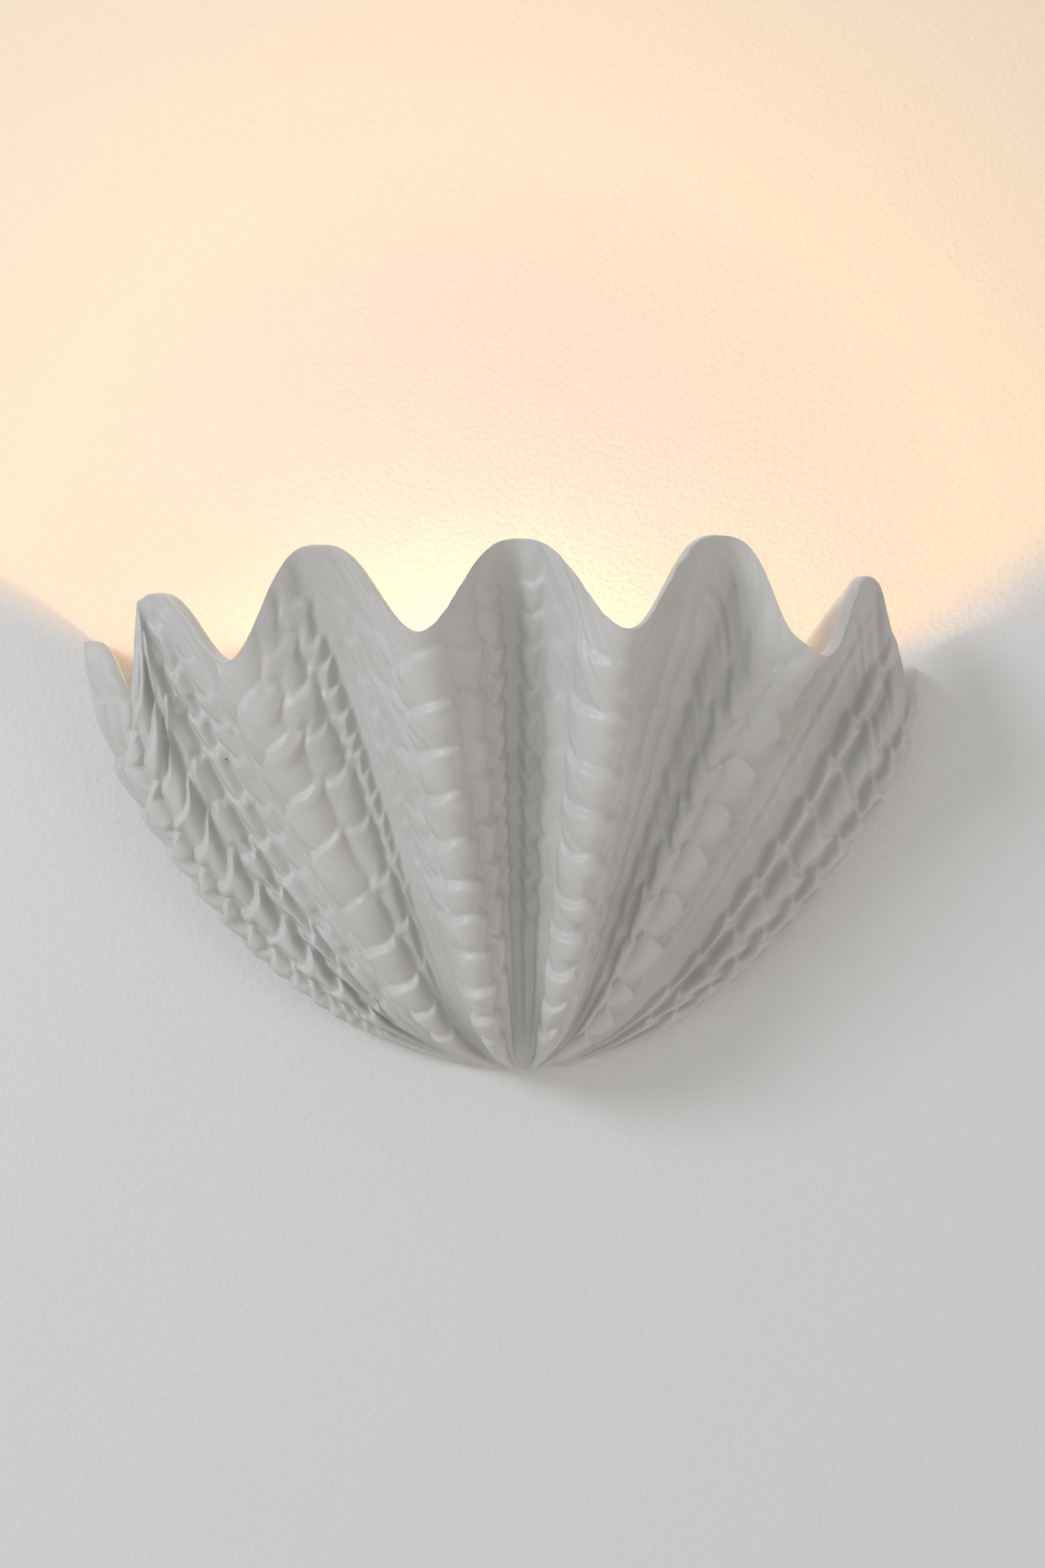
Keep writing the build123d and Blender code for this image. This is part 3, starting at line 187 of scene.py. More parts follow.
# Lift is how far a lip stands out, dome how far a scale bulges and horn how far the ends of a lip
# rise above its middle, all in millimetres.
PUFFY = dict(lift=4.2, dome=4.8, horn=4.5)
ROUND = dict(lift=3.3, dome=3.6, horn=4.5)
SMALL = dict(lift=2.7, dome=2.6, horn=3.0)
BROAD = dict(lift=3.7, dome=3.4, horn=4.5)
FAINT = dict(lift=1.4, dome=1.8, horn=2.5)
PROUD = dict(lift=5.5, dome=4.5, horn=3.5)
TWISTED = dict(lift=2.2, dome=3.2, horn=1.0)
GHOST = dict(lift=0.4, dome=0.9, horn=2.0)
BANDS = [
    Band((0.38, 0.38, 0.40), even(0.86, 0.08, 15), **PUFFY),
    Band((0.72, 0.72, 0.76), even(0.92, 0.08, 15), **PUFFY),
    Band((1.08, 1.08, 1.15), even(0.88, 0.09, 14), 0.03, **PUFFY),
    Band((1.35, 1.35, 1.50), [0.93, 0.84, 0.75, 0.66, 0.58, 0.49, 0.41, 0.33, 0.26, 0.19, 0.13], 0.05,
         **PUFFY),
    Band((1.68, 1.72, 1.98), [0.89, 0.77, 0.65, 0.56, 0.46, 0.38, 0.29, 0.22, 0.14, 0.10], 0.07, **ROUND),
    Band((1.96, 2.04, 2.35), [0.93, 0.84, 0.74, 0.67, 0.57, 0.48, 0.41, 0.30, 0.22, 0.15], 0.01, **ROUND),
    Band((2.25, 2.34, 2.68), [0.96, 0.86, 0.79, 0.73, 0.66, 0.56, 0.50, 0.43, 0.35, 0.27, 0.19], **SMALL),
    Band((2.30, 2.44, 2.79), [0.93, 0.85, 0.74, 0.65, 0.54, 0.43, 0.33, 0.24, 0.16], **TWISTED),
    Band((2.35, 2.49, 2.84), [0.90, 0.80, 0.70, 0.60, 0.50, 0.39, 0.29, 0.20], **TWISTED),
    Band((3.24, 3.30, 3.57), [0.942, 0.859, 0.755, 0.652, 0.548, 0.424, 0.324, 0.23, 0.161, 0.103], 0.06,
         **BROAD),
    Band((3.51, 3.64, 3.76), [0.918, 0.829, 0.742, 0.645, 0.538, 0.425, 0.32, 0.235, 0.15], 0.035,
         **SMALL),
    Band((3.75, 3.84, 3.88), [0.925, 0.852, 0.81, 0.76, 0.71, 0.668, 0.638, 0.598, 0.552, 0.512, 0.475,
                              0.44, 0.38, 0.32], 0.013, **SMALL),
    Band((4.00, 4.00, 4.00), even(0.90, 0.2, 13), **GHOST),
    Band((4.14, 4.16, 4.18), even(0.90, 0.25, 16), **FAINT),
    Band((4.49, 4.52, 4.58), [0.86, 0.76, 0.64, 0.53, 0.47, 0.40, 0.33], -0.03, **FAINT),
    Band((5.25, 5.33, 5.42), [0.927, 0.833, 0.742, 0.652, 0.558, 0.467, 0.388, 0.312, 0.227, 0.158, 0.103],
         0.015, **BROAD),
    Band((5.57, 5.64, 5.74), [0.885, 0.80, 0.70, 0.63, 0.535, 0.455, 0.385, 0.30, 0.225], 0.01, **SMALL),
    Band((5.82, 5.82, 5.85), [0.93, 0.882, 0.825, 0.773, 0.721, 0.67, 0.624, 0.582, 0.536, 0.497, 0.452,
                              0.421, 0.388, 0.34], **SMALL),
    Band((6.00, 6.00, 6.00)),
    Band((6.24, 6.24, 6.24), [0.921, 0.864, 0.812, 0.742, 0.688, 0.633, 0.585, 0.533, 0.488, 0.44, 0.40,
                              0.357, 0.315], **SMALL),
    Band((6.47, 6.45, 6.42), [0.90, 0.835, 0.74, 0.64, 0.555, 0.48, 0.40, 0.33], **FAINT),
    Band((6.56, 6.53, 6.48)),
    Band((7.30, 7.22, 7.05), [0.932, 0.827, 0.712, 0.615, 0.521, 0.418, 0.342, 0.252, 0.176, 0.113], -0.03,
         **BROAD),
    Band((7.80, 7.72, 7.55), [0.87, 0.75, 0.64, 0.54, 0.45, 0.36, 0.28, 0.20], 0.028, **FAINT),
    Band((8.02, 8.02, 8.02), even(0.84, 0.2, 9), **FAINT),
    Band((8.25, 8.22, 8.20)),
    Band((8.48, 8.48, 8.48), [0.85, 0.79, 0.73, 0.67, 0.61, 0.56, 0.51, 0.45, 0.38, 0.31, 0.24], **FAINT),
    Band((8.78, 8.78, 8.78), [0.893, 0.812, 0.712, 0.621, 0.527, 0.424, 0.32, 0.22], -0.03, **SMALL),
    Band((10.11, 10.11, 10.11), [0.835, 0.75, 0.66, 0.57, 0.485, 0.39, 0.30, 0.20, 0.14, 0.08], -0.045,
         **PROUD),
    Band((10.20, 10.20, 10.20), even(0.90, 0.1, 22), **FAINT),
    Band((10.28, 10.28, 10.28), even(0.92, 0.1, 22), **FAINT),
    Band((10.43, 10.43, 10.43)),
    Band((10.58, 10.575, 10.57), [0.91, 0.80, 0.71, 0.612, 0.515, 0.43, 0.345, 0.26, 0.18], -0.035,
         **PUFFY),
    Band((10.83, 10.82, 10.80), [0.96, 0.83, 0.712, 0.61, 0.51, 0.415, 0.33, 0.25, 0.18, 0.124], -0.06,
         **PUFFY),
    Band((11.05, 11.05, 11.05), [0.93, 0.86, 0.78, 0.70, 0.62, 0.54, 0.45, 0.37, 0.29, 0.22, 0.15], -0.02,
         **PUFFY),
    Band((11.45, 11.45, 11.45), even(0.90, 0.1, 12), **PUFFY),
    Band((12.0, 12.0, 12.0), even(0.86, 0.1, 13), **PUFFY),
]


def hashed(number):
    """A fixed random share from 0 to 1 for each whole number. The three values only scatter."""
    value = np.sin(np.asarray(number, float) * 12.9898 + 4.1) * 43758.5453
    return value - np.floor(value)


def wavy(x, y, seed):
    """Soft noise from -1 to 1 with waves about one unit long."""
    column, row = np.floor(x), np.floor(y)
    ease_x, ease_y = (value * value * (3 - 2 * value) for value in (x - column, y - row))
    corners = [hashed((column + i) * 57.0 + (row + j) * 131.0 + seed) for j in (0, 1) for i in (0, 1)]
    low = corners[0] + (corners[1] - corners[0]) * ease_x
    high = corners[2] + (corners[3] - corners[2]) * ease_x
    return 2 * (low + (high - low) * ease_y) - 1


def eased(value, low, high):
    """0 below low, 1 above high and a soft step between."""
    share = np.clip((value - low) / (high - low), 0, 1)
    return share * share * (3 - 2 * share)


def line_at(marks, height):
    """A column line through its three marks: near the rim, half way and near the foot."""
    near, middle, foot = marks
    return np.interp(height, MARK_HEIGHTS, [foot, foot, middle, near, near])


def fold_lengths(height):
    """How many millimetres the smooth face measures up to each fold number, at one height."""
    folds = np.linspace(0, FOLDS, FOLD_SAMPLES + 1)
    steps = np.linalg.norm(np.diff(outer_point(folds, np.full_like(folds, height)), axis=0), axis=-1)
    return folds, np.concatenate([[0], np.cumsum(steps)])


MARK_HEIGHTS = [0.0, 0.15, 0.5, 0.95, 1.0]
FOLD_SAMPLES = 2400
WIDTH_STEP = 0.05                     # height between two measured rows
WIDTHS = [fold_lengths(height) for height in np.linspace(WIDTH_STEP, 1.0, round(1 / WIDTH_STEP))]
LEVELS = np.linspace(0, 1, 401)
MIDDLE_FOLD = 5.0                     # a front rib, along which rows of points are spaced
RIB_ALONG = np.concatenate([[0], np.cumsum(np.linalg.norm(np.diff(
    outer_point(np.full_like(LEVELS, MIDDLE_FOLD), LEVELS), axis=0), axis=-1))])


def across_mm(fold, height):
    """Length along the smooth face from its left end, between the two nearest measured rows."""
    steps = (height - WIDTH_STEP) / WIDTH_STEP
    low = np.clip(np.floor(steps).astype(int), 0, len(WIDTHS) - 2)
    share = np.clip(steps - low, 0, 1)
    made = np.zeros(np.broadcast(fold, height).shape)
    for level, rows in enumerate(zip(WIDTHS, WIDTHS[1:])):
        here = low == level
        if here.any():
            near, far = (np.interp(fold[here], *row) for row in rows)
            made[here] = near + (far - near) * share[here]
    return made


# Larger bulges of the cast near its two ends: fold, height, half width, half height and mm out.
CHEEKS = [(1.35, 0.94, 0.25, 0.05, 4.0), (1.30, 0.80, 0.25, 0.04, 3.0), (1.25, 0.67, 0.25, 0.04, 2.5),
          (10.9, 0.90, 0.3, 0.05, 1.5)]
FULL_WIDTH = 9.0     # millimetres of width from which a column has its full relief
LIP_ROUND = 1.25     # millimetres over which a lip falls to the scale above it
SEAM_WIDTH = 2.2     # half width of the groove between two columns
SEAM_DEPTH = 0.7
LOWEST = 0.3         # millimetres at which a groove's foot is filled with glaze
WIDENING = 0.26      # how far a scale reaches over the column beside it, as a share of the narrower one
SHOULDER = 0.8       # share of a scale's height at which it is widest
TOP_SCALE = 0.16     # height of the highest scale, whose lip would lie past the rim
PAST_RIM = 2.0       # a lip height that no point reaches, for a column without lips
THIN = 0.1           # millimetres of width that every column keeps
SWAY, SWAY_LENGTH = 0.015, 17     # how far a column's line wanders, in folds, and over how many mm
SWAY_APART = 7.3                  # each column's line wanders in its own way

# Shape of one scale, as shares of its band's lift and dome.
LEAST_LIFT, LIFT_SPREAD = 0.8, 0.4    # the lowest scale, and how much more the highest has
SIDE_DROP, SIDE_POWER = 0.5, 4        # how much of a lip's lift is lost towards its two ends
EARLY_RISE, LATE_POWER = 0.75, 4      # how much of the lift comes evenly; the rest comes at the lip
LEAST_DOME, DOME_POWER = 0.45, 0.6    # how much of the bulge is left at the lip and the foot
PILLOW_POWER = 2.1                    # how full the bulge is from side to side
PLAIN_SEAM = 0.3                      # depth of the groove beside a column without scales
NARROW_RELIEF = 0.25                  # least relief of a narrow column
LIP_WANDER = 0.005                    # how far lips wander, as a share of the fold's height
WANDER_ACROSS, WANDER_ALONG, WANDER_SEED = 9, 11, 11

# Ranges of height over which the relief changes, and how much of it is gained or lost there.
OFF_THE_FOOT = (0.01, 0.12)
TOWARDS_RIM, RIM_FADE = (0.80, 0.97), 0.45
SOFTER_LIPS, LIP_STRETCH = (0.78, 0.95), 1.5
AT_THE_RIM, RIM_LOSS = (0.965, 1.0), 0.75
AT_THE_FOOT = (0.0, 0.05)
AT_THE_ENDS = (0, 0.12)               # in folds
SUNK = 1.6           # millimetres by which the feet of the scales lie under the smooth face
GLAZE_FILL = 1.5     # how sharply the glaze ends that fills the grooves

# Unevenness of the cast: width, length and height of its waves in millimetres, and a seed.
GRAIN = [(2.2, 9, 0.10, 5), (5.0, 14, 0.22, 9), (23, 31, 0.5, 21)]
FLUTES, FLUTED = (2.6, 60, 0.5, 33), (0.68, 0.92)      # fine flutes, and where they fade in


class Rows:
    """What is the same all along each row of points: the columns' lines and the folds' heights."""

    def __init__(self, height):
        self.level = height[:, :1]
        self.up = np.interp(self.level, LEVELS, RIB_ALONG)
        self.folds = [np.zeros_like(self.level)]
        for number, band in enumerate(BANDS):
            sway = SWAY * wavy(self.up / SWAY_LENGTH, self.up * 0 + number * SWAY_APART, 3)
            self.folds.append(line_at(band.right, self.level) + sway * (number < len(BANDS) - 1))
        self.centres = [scallop(FOLD_UP, (left + right) / 2)
                        for left, right in zip(self.folds, self.folds[1:])]
        self.places = [across_mm(fold, self.level) for fold in self.folds]
        self.straight = list(self.places)
        for number in range(1, len(BANDS)):
            rise = scallop(FOLD_UP, self.folds[number])
            left, right = (scale_at(band, band.own_height(self.level, rise, end, centre))[1]
                           for band, end, centre in ((BANDS[number - 1], 1, self.centres[number - 1]),
                                                     (BANDS[number], -1, self.centres[number])))
            reach = shoulder(left) * (len(BANDS[number - 1].lips) > 0)
            reach = reach - shoulder(right) * (len(BANDS[number].lips) > 0)
            widths = [self.straight[number + side] - self.straight[number + side - 1] for side in (0, 1)]
            moved = self.places[number] + WIDENING * np.minimum(*widths) * reach
            self.places[number] = np.maximum(moved, self.places[number - 1] + THIN)


def shoulder(portion):
    """How far a scale has widened: more and more towards its shoulders, and quickly back at the lip."""
    return np.minimum(portion / SHOULDER, (1 - portion) / (1 - SHOULDER))


def scale_at(band, own):
    """Which scale a height falls in, its share of the way to the lip, and millimetres above the one below."""
    lips = sorted(band.lips) or [PAST_RIM]
    edges = np.array([0.0, *lips, lips[-1] + TOP_SCALE])
    index = np.clip(np.searchsorted(edges, own, side="right") - 1, 0, len(edges) - 2)
    low, high = edges[index], edges[index + 1]
    return index, np.clip((own - low) / (high - low), 0, 1), (own - low) * FOLD_HEIGHT


def band_relief(number, rows, inside, place, rise):
    """Relief of the points inside one band. place is how far along its row each of them lies."""
    def here(row_values):
        return np.broadcast_to(row_values, inside.shape)[inside]

    band, level = BANDS[number], here(rows.level)
    from_left, from_right = place - here(rows.places[number]), here(rows.places[number + 1]) - place
    side = np.maximum(np.minimum(from_left, from_right), 0)
    seam = -SEAM_DEPTH * np.exp(-(side / SEAM_WIDTH) ** 2)
    if not band.lips:
        return seam * PLAIN_SEAM
    low, high = here(rows.straight[number]), here(rows.straight[number + 1])
    across = np.clip(2 * (place - low) / np.maximum(high - low, THIN) - 1, -1, 1)
    wander = wavy(place / WANDER_ACROSS, here(rows.up) / WANDER_ALONG, WANDER_SEED + number)
    own = band.own_height(level, rise, across, here(rows.centres[number])) + LIP_WANDER * wander
    index, portion, below = scale_at(band, own)
    share = np.clip(from_left / np.maximum(from_left + from_right, THIN), 0, 1)
    off_middle = np.abs(2 * share - 1)
    fade = 1 - RIM_FADE * eased(level, *TOWARDS_RIM)
    fade = fade * np.clip((high - low) / FULL_WIDTH, NARROW_RELIEF, 1)
    lift = LEAST_LIFT + LIFT_SPREAD * hashed(index * 3 + number * 17)
    lift = band.lift * lift * fade * eased(level, *OFF_THE_FOOT) * (1 - SIDE_DROP * off_middle**SIDE_POWER)
    rising = EARLY_RISE * portion + (1 - EARLY_RISE) * portion**LATE_POWER
    fall = 1 - eased(below / (1 + LIP_STRETCH * eased(level, *SOFTER_LIPS)), 0, LIP_ROUND)
    dome = LEAST_DOME + (1 - LEAST_DOME) * np.sin(np.pi * portion) ** DOME_POWER
    pillow = band.dome * fade * (1 - off_middle**PILLOW_POWER)
    return seam + lift * np.maximum(rising, fall * (index > 0)) + pillow * dome


def waves(place, up, wide, long, high, seed):
    """Soft unevenness of the cast, in millimetres."""
    return wavy(place / wide, up / long, seed) * high


def relief(fold, height):
    """How far the cast surface stands out, in millimetres, for rows of points of one height each."""
    rows = Rows(height)
    place = across_mm(fold, height)
    rise = scallop(FOLD_UP, np.clip(fold, 0, FOLDS))
    total = np.zeros_like(height)
    for number in range(len(BANDS)):
        inside = place >= rows.places[number]
        if number < len(BANDS) - 1:
            inside = inside & (place < rows.places[number + 1])
        if inside.any():
            total[inside] = band_relief(number, rows, inside, place[inside], rise[inside])
    for middle_fold, middle_height, wide, high, out in CHEEKS:
        total += out * np.exp(-((fold - middle_fold) / wide) ** 2 - ((height - middle_height) / high) ** 2)
    total = np.logaddexp(0, (total - LOWEST) * GLAZE_FILL) / GLAZE_FILL + LOWEST
    total = (total - SUNK) * (1 - RIM_LOSS * eased(height, *AT_THE_RIM))
    total += sum(waves(place, rows.up, *wave) for wave in GRAIN)
    total += waves(place, rows.up, *FLUTES) * eased(height, *FLUTED)
    from_ends = np.minimum(np.clip(fold, 0, FOLDS), FOLDS - np.clip(fold, 0, FOLDS))
    return total * eased(height, *AT_THE_FOOT) * eased(from_ends, *AT_THE_ENDS)


def soften(values):
    """Rounds the relief off as a thin glaze does, over about a millimetre."""
    reach = len(SOFTENING) // 2
    for axis in (0, 1, 0, 1):
        ends = [(0, 0), (0, 0)]
        ends[axis] = (reach, reach)
        wide = np.pad(values, ends, mode="edge")
        size = values.shape[axis]
        parts = (weight * np.take(wide, np.arange(step, step + size), axis=axis)
                 for step, weight in enumerate(SOFTENING))
        values = sum(parts) / sum(SOFTENING)
    return values


SOFTENING = (1, 4, 6, 4, 1)           # weights of a point and its neighbours


def cast_face(fold, height):
    """Points and normals of the cast outer face with its scales. It never passes behind the wall plane."""
    point = outer_point(fold, height) + facing(fold, height) * soften(relief(fold, height))[..., None]
    point[..., 1] = np.minimum(point[..., 1], 0)
    return point, grid_normals(point)


def grid_normals(point):
    """Unit normals of a grid of points."""
    return unit(np.cross(np.gradient(point, axis=1), np.gradient(point, axis=0)))


# ---------------------------------------------------------------- meshes
def linear(code):
    """sRGB hex to linear colour."""
    parts = [int(code[i:i + 2], 16) / 255 for i in (0, 2, 4)]
    return [p / 12.92 if p <= 0.04045 else ((p + 0.055) / 1.055) ** 2.4 for p in parts] + [1.0]


def new_piece(name, mesh, finish=None):
    """Object at the origin that carries a mesh."""
    piece = bpy.data.objects.new(name, mesh)
    bpy.context.scene.collection.objects.link(piece)
    if finish:
        mesh.materials.append(finish)
    return piece


def strip(long, short):
    """Triangles between two rows of vertices that may differ in number."""
    made = []
    reach = (len(short) - 1) / (len(long) - 1)
    for i in range(len(long) - 1):
        here, there = round(i * reach), round((i + 1) * reach)
        made.append((long[i], long[i + 1], short[here]))
        if there != here:
            made.append((short[here], long[i + 1], short[there]))
    return made


def grid(index):
    """Quads of a grid of vertex numbers."""
    low, high = index[:-1], index[1:]
    quads = np.stack([low[:, :-1], low[:, 1:], high[:, 1:], high[:, :-1]], -1)
    return quads.reshape(-1, 4).tolist()


SPACING = 0.62     # millimetres between the columns of points
ROWS = 384
SPACED_AT = (0.55, 0.95)                  # heights at which the columns are spaced
LENGTH_SAMPLES = 61
INNER_STEP = 4                            # the inner face is smooth and has fewer points
RIM_CROWN = 1.0                           # how far the rim's edge is rounded up
CROWN_SHARES = (0.12, 0.35, 0.65, 0.88)   # places of the rim's rows, from the outer to the inner edge
MAP_LEVEL = 0.6                           # height at which the map's width is measured


def row_heights():
    """Heights of the rows of points, evenly spaced along a front rib."""
    return np.interp(np.linspace(0, RIB_ALONG[-1], ROWS + 1), RIB_ALONG, LEVELS)


def lobe_columns(number):
    """Fold numbers of a lobe's columns of points, about evenly spaced along the rim."""
    made = [np.array([2.0 * number])]
    for fold in (2 * number, 2 * number + 1):
        folds = np.linspace(fold, fold + 1, LENGTH_SAMPLES)
        rows = (outer_point(folds, np.full(LENGTH_SAMPLES, height)) for height in SPACED_AT)
        length = max(np.linalg.norm(np.diff(row, axis=0), axis=-1).sum() for row in rows)
        count = INNER_STEP * round(length / SPACING / INNER_STEP)
        made.append(fold + np.linspace(0, 1, count + 1)[1:])
    return np.concatenate(made)


def lobes_of_shell(finish):
    """The shell's six lobes, cut from one cast face, so that they meet without a step."""
    parts = [lobe_columns(number) for number in range(FOLDS // 2)]
    columns = np.concatenate([parts[0]] + [part[1:] for part in parts[1:]])
    fold, height = np.meshgrid(columns, row_heights())
    point, normal = cast_face(fold, height)
    coarse = (slice(None, None, INNER_STEP),) * 2
    inner = inner_point(fold[coarse], height[coarse])
    inner_normal = -grid_normals(inner)
    made, start = [], 0
    for number, part in enumerate(parts):
        end = start + len(part)
        here = (slice(None), slice(start, end))
        there = (slice(None), slice(start // INNER_STEP, (end - 1) // INNER_STEP + 1))
        made.append(lobe(number, fold[here], height[here], point[here], inner[there],
                         (normal[here], inner_normal[there]), finish))
        start = end - 1
    return made


def rim_crown(outer_rim, inner_rim):
    """Rows of points over the rim's edge, rounded up in the middle."""
    rows = []
    for share in CROWN_SHARES:
        row = outer_rim + (inner_rim - outer_rim) * share
        row[:, 2] += RIM_CROWN * (1 - (2 * share - 1) ** 4)
        rows.append(row)
    return rows


def closed_faces(outer, inner, crowns, foot_out, foot_in):
    """Faces of a closed lobe, from its vertex numbers, and how many of them are its two broad faces."""
    faces = grid(outer) + grid(inner[::-1])
    broad = len(faces)
    faces += grid(np.array([outer[-1], *crowns]))
    faces += strip(crowns[-1].tolist(), inner[-1].tolist())
    for column in (0, -1):
        edge = outer[:, column].tolist() + [int(row[column]) for row in crowns]
        faces += strip(edge, inner[:, column].tolist())
        faces += [(edge[0], foot_out, foot_in), (edge[0], foot_in, int(inner[0, column]))]
    for row, centre in ((outer[0], foot_out), (inner[0], foot_in)):
        faces += [(int(a), int(b), centre) for a, b in zip(row, row[1:])]
    return faces, broad


def face_outwards(mesh):
    """Turns all the faces of a closed mesh outwards."""
    work = bmesh.new()
    work.from_mesh(mesh)
    bmesh.ops.recalc_face_normals(work, faces=work.faces)
    if work.calc_volume(signed=True) < 0:
        bmesh.ops.reverse_faces(work, faces=work.faces)
    work.to_mesh(mesh)
    work.free()


def lobe(number, fold, height, outer, inner, normals, finish):
    """One lobe of the shell between two grooves, as a closed solid with its scales."""
    columns = fold[0]
    crowns = rim_crown(outer[-1], inner_point(columns, np.ones_like(columns)))
    foot = np.array([[0, 0, SHELL_FOOT_Z], [0, 0, SHELL_FOOT_Z + SHELL_FLOOR]])
    points = [outer.reshape(-1, 3), inner.reshape(-1, 3), *crowns, foot]
    starts = np.cumsum([0] + [len(part) for part in points])
    outer_index = np.arange(starts[1]).reshape(outer.shape[:2])
    inner_index = starts[1] + np.arange(len(points[1])).reshape(inner.shape[:2])
    crown_index = [starts[2 + i] + np.arange(len(columns)) for i in range(len(crowns))]
    faces, broad = closed_faces(outer_index, inner_index, crown_index, starts[-1] - 2, starts[-1] - 1)
    mesh = bpy.data.meshes.new(f"shell_lobe_{number + 1}")
    mesh.from_pydata((np.concatenate(points) * MM).tolist(), [], faces)
    face_outwards(mesh)
    mesh.shade_smooth()
    corner = np.zeros(len(mesh.loops), int)
    mesh.loops.foreach_get("vertex_index", corner)
    on_broad = np.arange(len(mesh.loops)) < broad * 4
    own = np.zeros((len(mesh.loops), 3))
    own[on_broad] = np.concatenate([part.reshape(-1, 3) for part in normals])[corner[on_broad]]
    mesh.normals_split_custom_set(own.tolist())
    surface_map(mesh, corner, len(mesh.vertices), fold, height)
    return new_piece(f"shell_lobe_{number + 1}", mesh, finish)


def surface_map(mesh, corner, total, fold, height):
    """UV map in metres along the shell's surface, for patterns that follow its folds."""
    flat = np.zeros((total, 2))
    steps = (slice(None, None, INNER_STEP),) * 2
    folds = np.concatenate([fold.ravel(), fold[steps].ravel()])
    levels = np.concatenate([height.ravel(), height[steps].ravel()])
    rim = np.tile(fold[-1], len(CROWN_SHARES))
    broad, crowned = len(folds), len(folds) + len(rim)
    flat[:broad, 0] = across_mm(folds, np.full_like(folds, MAP_LEVEL)) * MM
    flat[:broad, 1] = np.interp(levels, LEVELS, RIB_ALONG) * MM
    flat[broad:crowned, 0] = across_mm(rim, np.full_like(rim, MAP_LEVEL)) * MM
    flat[broad:crowned, 1] = RIB_ALONG[-1] * MM
    layer = mesh.uv_layers.new(name="along_shell")
    layer.data.foreach_set("uv", flat[corner].ravel())


def wall_reach(side, depth, level):
    """Distance from the middle to the shell's outer face on one side, at a depth and height in mm."""
    end = 0 if side < 0 else FOLDS
    folds = end - side * np.linspace(0, 1, REACH_SAMPLES)
    rim_z = outer_point(folds, np.ones(REACH_SAMPLES))[:, 2]
    found = outer_point(folds, (level - SHELL_FOOT_Z) / (rim_z - SHELL_FOOT_Z))
    return float(np.interp(depth, -found[:, 1], np.abs(found[:, 0])))


REACH_SAMPLES = 201
LUG_HALF_HEIGHT = 13                      # millimetres above and below the middle of the bar


def lug_block(work, side, near, middle, front_y, back_y):
    """Adds one cast lug: a block from the shell's wall inwards."""
    corners = []
    for y in (front_y, back_y):
        for level, far in ((-LUG_HALF_HEIGHT, 0), (LUG_HALF_HEIGHT, 0), (LUG_HALF_HEIGHT, 1),
                           (-LUG_HALF_HEIGHT, 1)):
            z = middle + level * MM
            x = near
            if far:
                x = side * (wall_reach(side, -y / MM, z / MM) - SHELL_WALL / 2) * MM
            corners.append(work.verts.new((x, y, z)))
    front, back = corners[:4], corners[4:]
    work.faces.new(front)
    work.faces.new(back[::-1])
    for i in range(4):
        work.faces.new((front[i - 1], front[i], back[i], back[i - 1]))


def insert_bores(cutters, low, high, middle):
    """Adds the bores for one lug's two inserts, which are twice as long as the inserts."""
    radius = (high.z - low.z) / 2
    for x in (low.x + radius, high.x - radius):
        made = bmesh.ops.create_cone(cutters, cap_ends=True, segments=40, radius1=radius,
                                     radius2=radius, depth=2 * (high.y - low.y))
        for vert in made["verts"]:
            x_in, y_in, z_in = vert.co
            vert.co = (x + x_in, low.y + z_in, middle + y_in)


def lugs(finish):
    """The two cast lugs that carry the hanger bar, with the bores for their inserts."""
    _, bar_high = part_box("hanger_bar")
    work, cutters = bmesh.new(), bmesh.new()
    for side, name in ((-1, "left"), (1, "right")):
        pad_low, pad_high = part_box(f"wall_pad_{name}")
        near = (pad_low.x if side > 0 else pad_high.x) - side * MM
        middle = (pad_low.z + pad_high.z) / 2
        lug_block(work, side, near, middle, bar_high.y, pad_low.y)
        insert_bores(cutters, *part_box(f"lug_inserts_{name}"), middle)
    pieces = []
    for name, source in (("shell_lugs", work), ("lug_bores", cutters)):
        bmesh.ops.recalc_face_normals(source, faces=source.faces)
        mesh = bpy.data.meshes.new(name)
        source.to_mesh(mesh)
        source.free()
        pieces.append(new_piece(name, mesh, finish))
    body, bores = pieces
    cut = body.modifiers.new("bores", "BOOLEAN")
    cut.operation, cut.solver, cut.object = "DIFFERENCE", "EXACT", bores
    evaluated = body.evaluated_get(bpy.context.evaluated_depsgraph_get())
    body_mesh = bpy.data.meshes.new_from_object(evaluated)
    bpy.data.objects.remove(bores)
    bpy.data.objects.remove(body)
    return new_piece("shell_lugs", body_mesh)


# ---------------------------------------------------------------- materials
def add(tree, kind, settings=None, **links):
    """Adds a node with its settings, and links its inputs to sockets or sets them to values."""
    node = tree.nodes.new(kind)
    for name, value in (settings or {}).items():
        setattr(node, name, value)
    for name, value in links.items():
        socket = node.inputs[int(name[1:])] if name[1:].isdigit() else node.inputs[name.replace("_", " ")]
        if isinstance(value, bpy.types.NodeSocket):
            tree.links.new(value, socket)
        else:
            socket.default_value = value
    return node


def material(name, colour, metallic=0.0, roughness=0.5, **sockets):
    """Principled material with plain values, to which a finish adds its pattern."""
    made = bpy.data.materials.new(name)
    made.use_nodes = True
    shader = made.node_tree.nodes["Principled BSDF"]
    shader.inputs["Base Color"].default_value = linear(colour)
    shader.inputs["Metallic"].default_value = metallic
    shader.inputs["Roughness"].default_value = roughness
    for socket, value in sockets.items():
        shader.inputs[socket.replace("_", " ")].default_value = value
    return made, made.node_tree, shader


def bump(tree, shader, pattern, depth_mm):
    """Raises the surface by a pattern from 0 to 1, of a real depth."""
    node = add(tree, "ShaderNodeBump", Strength=1.0, Distance=depth_mm * MM, Height=pattern)
    tree.links.new(node.outputs["Normal"], shader.inputs["Normal"])


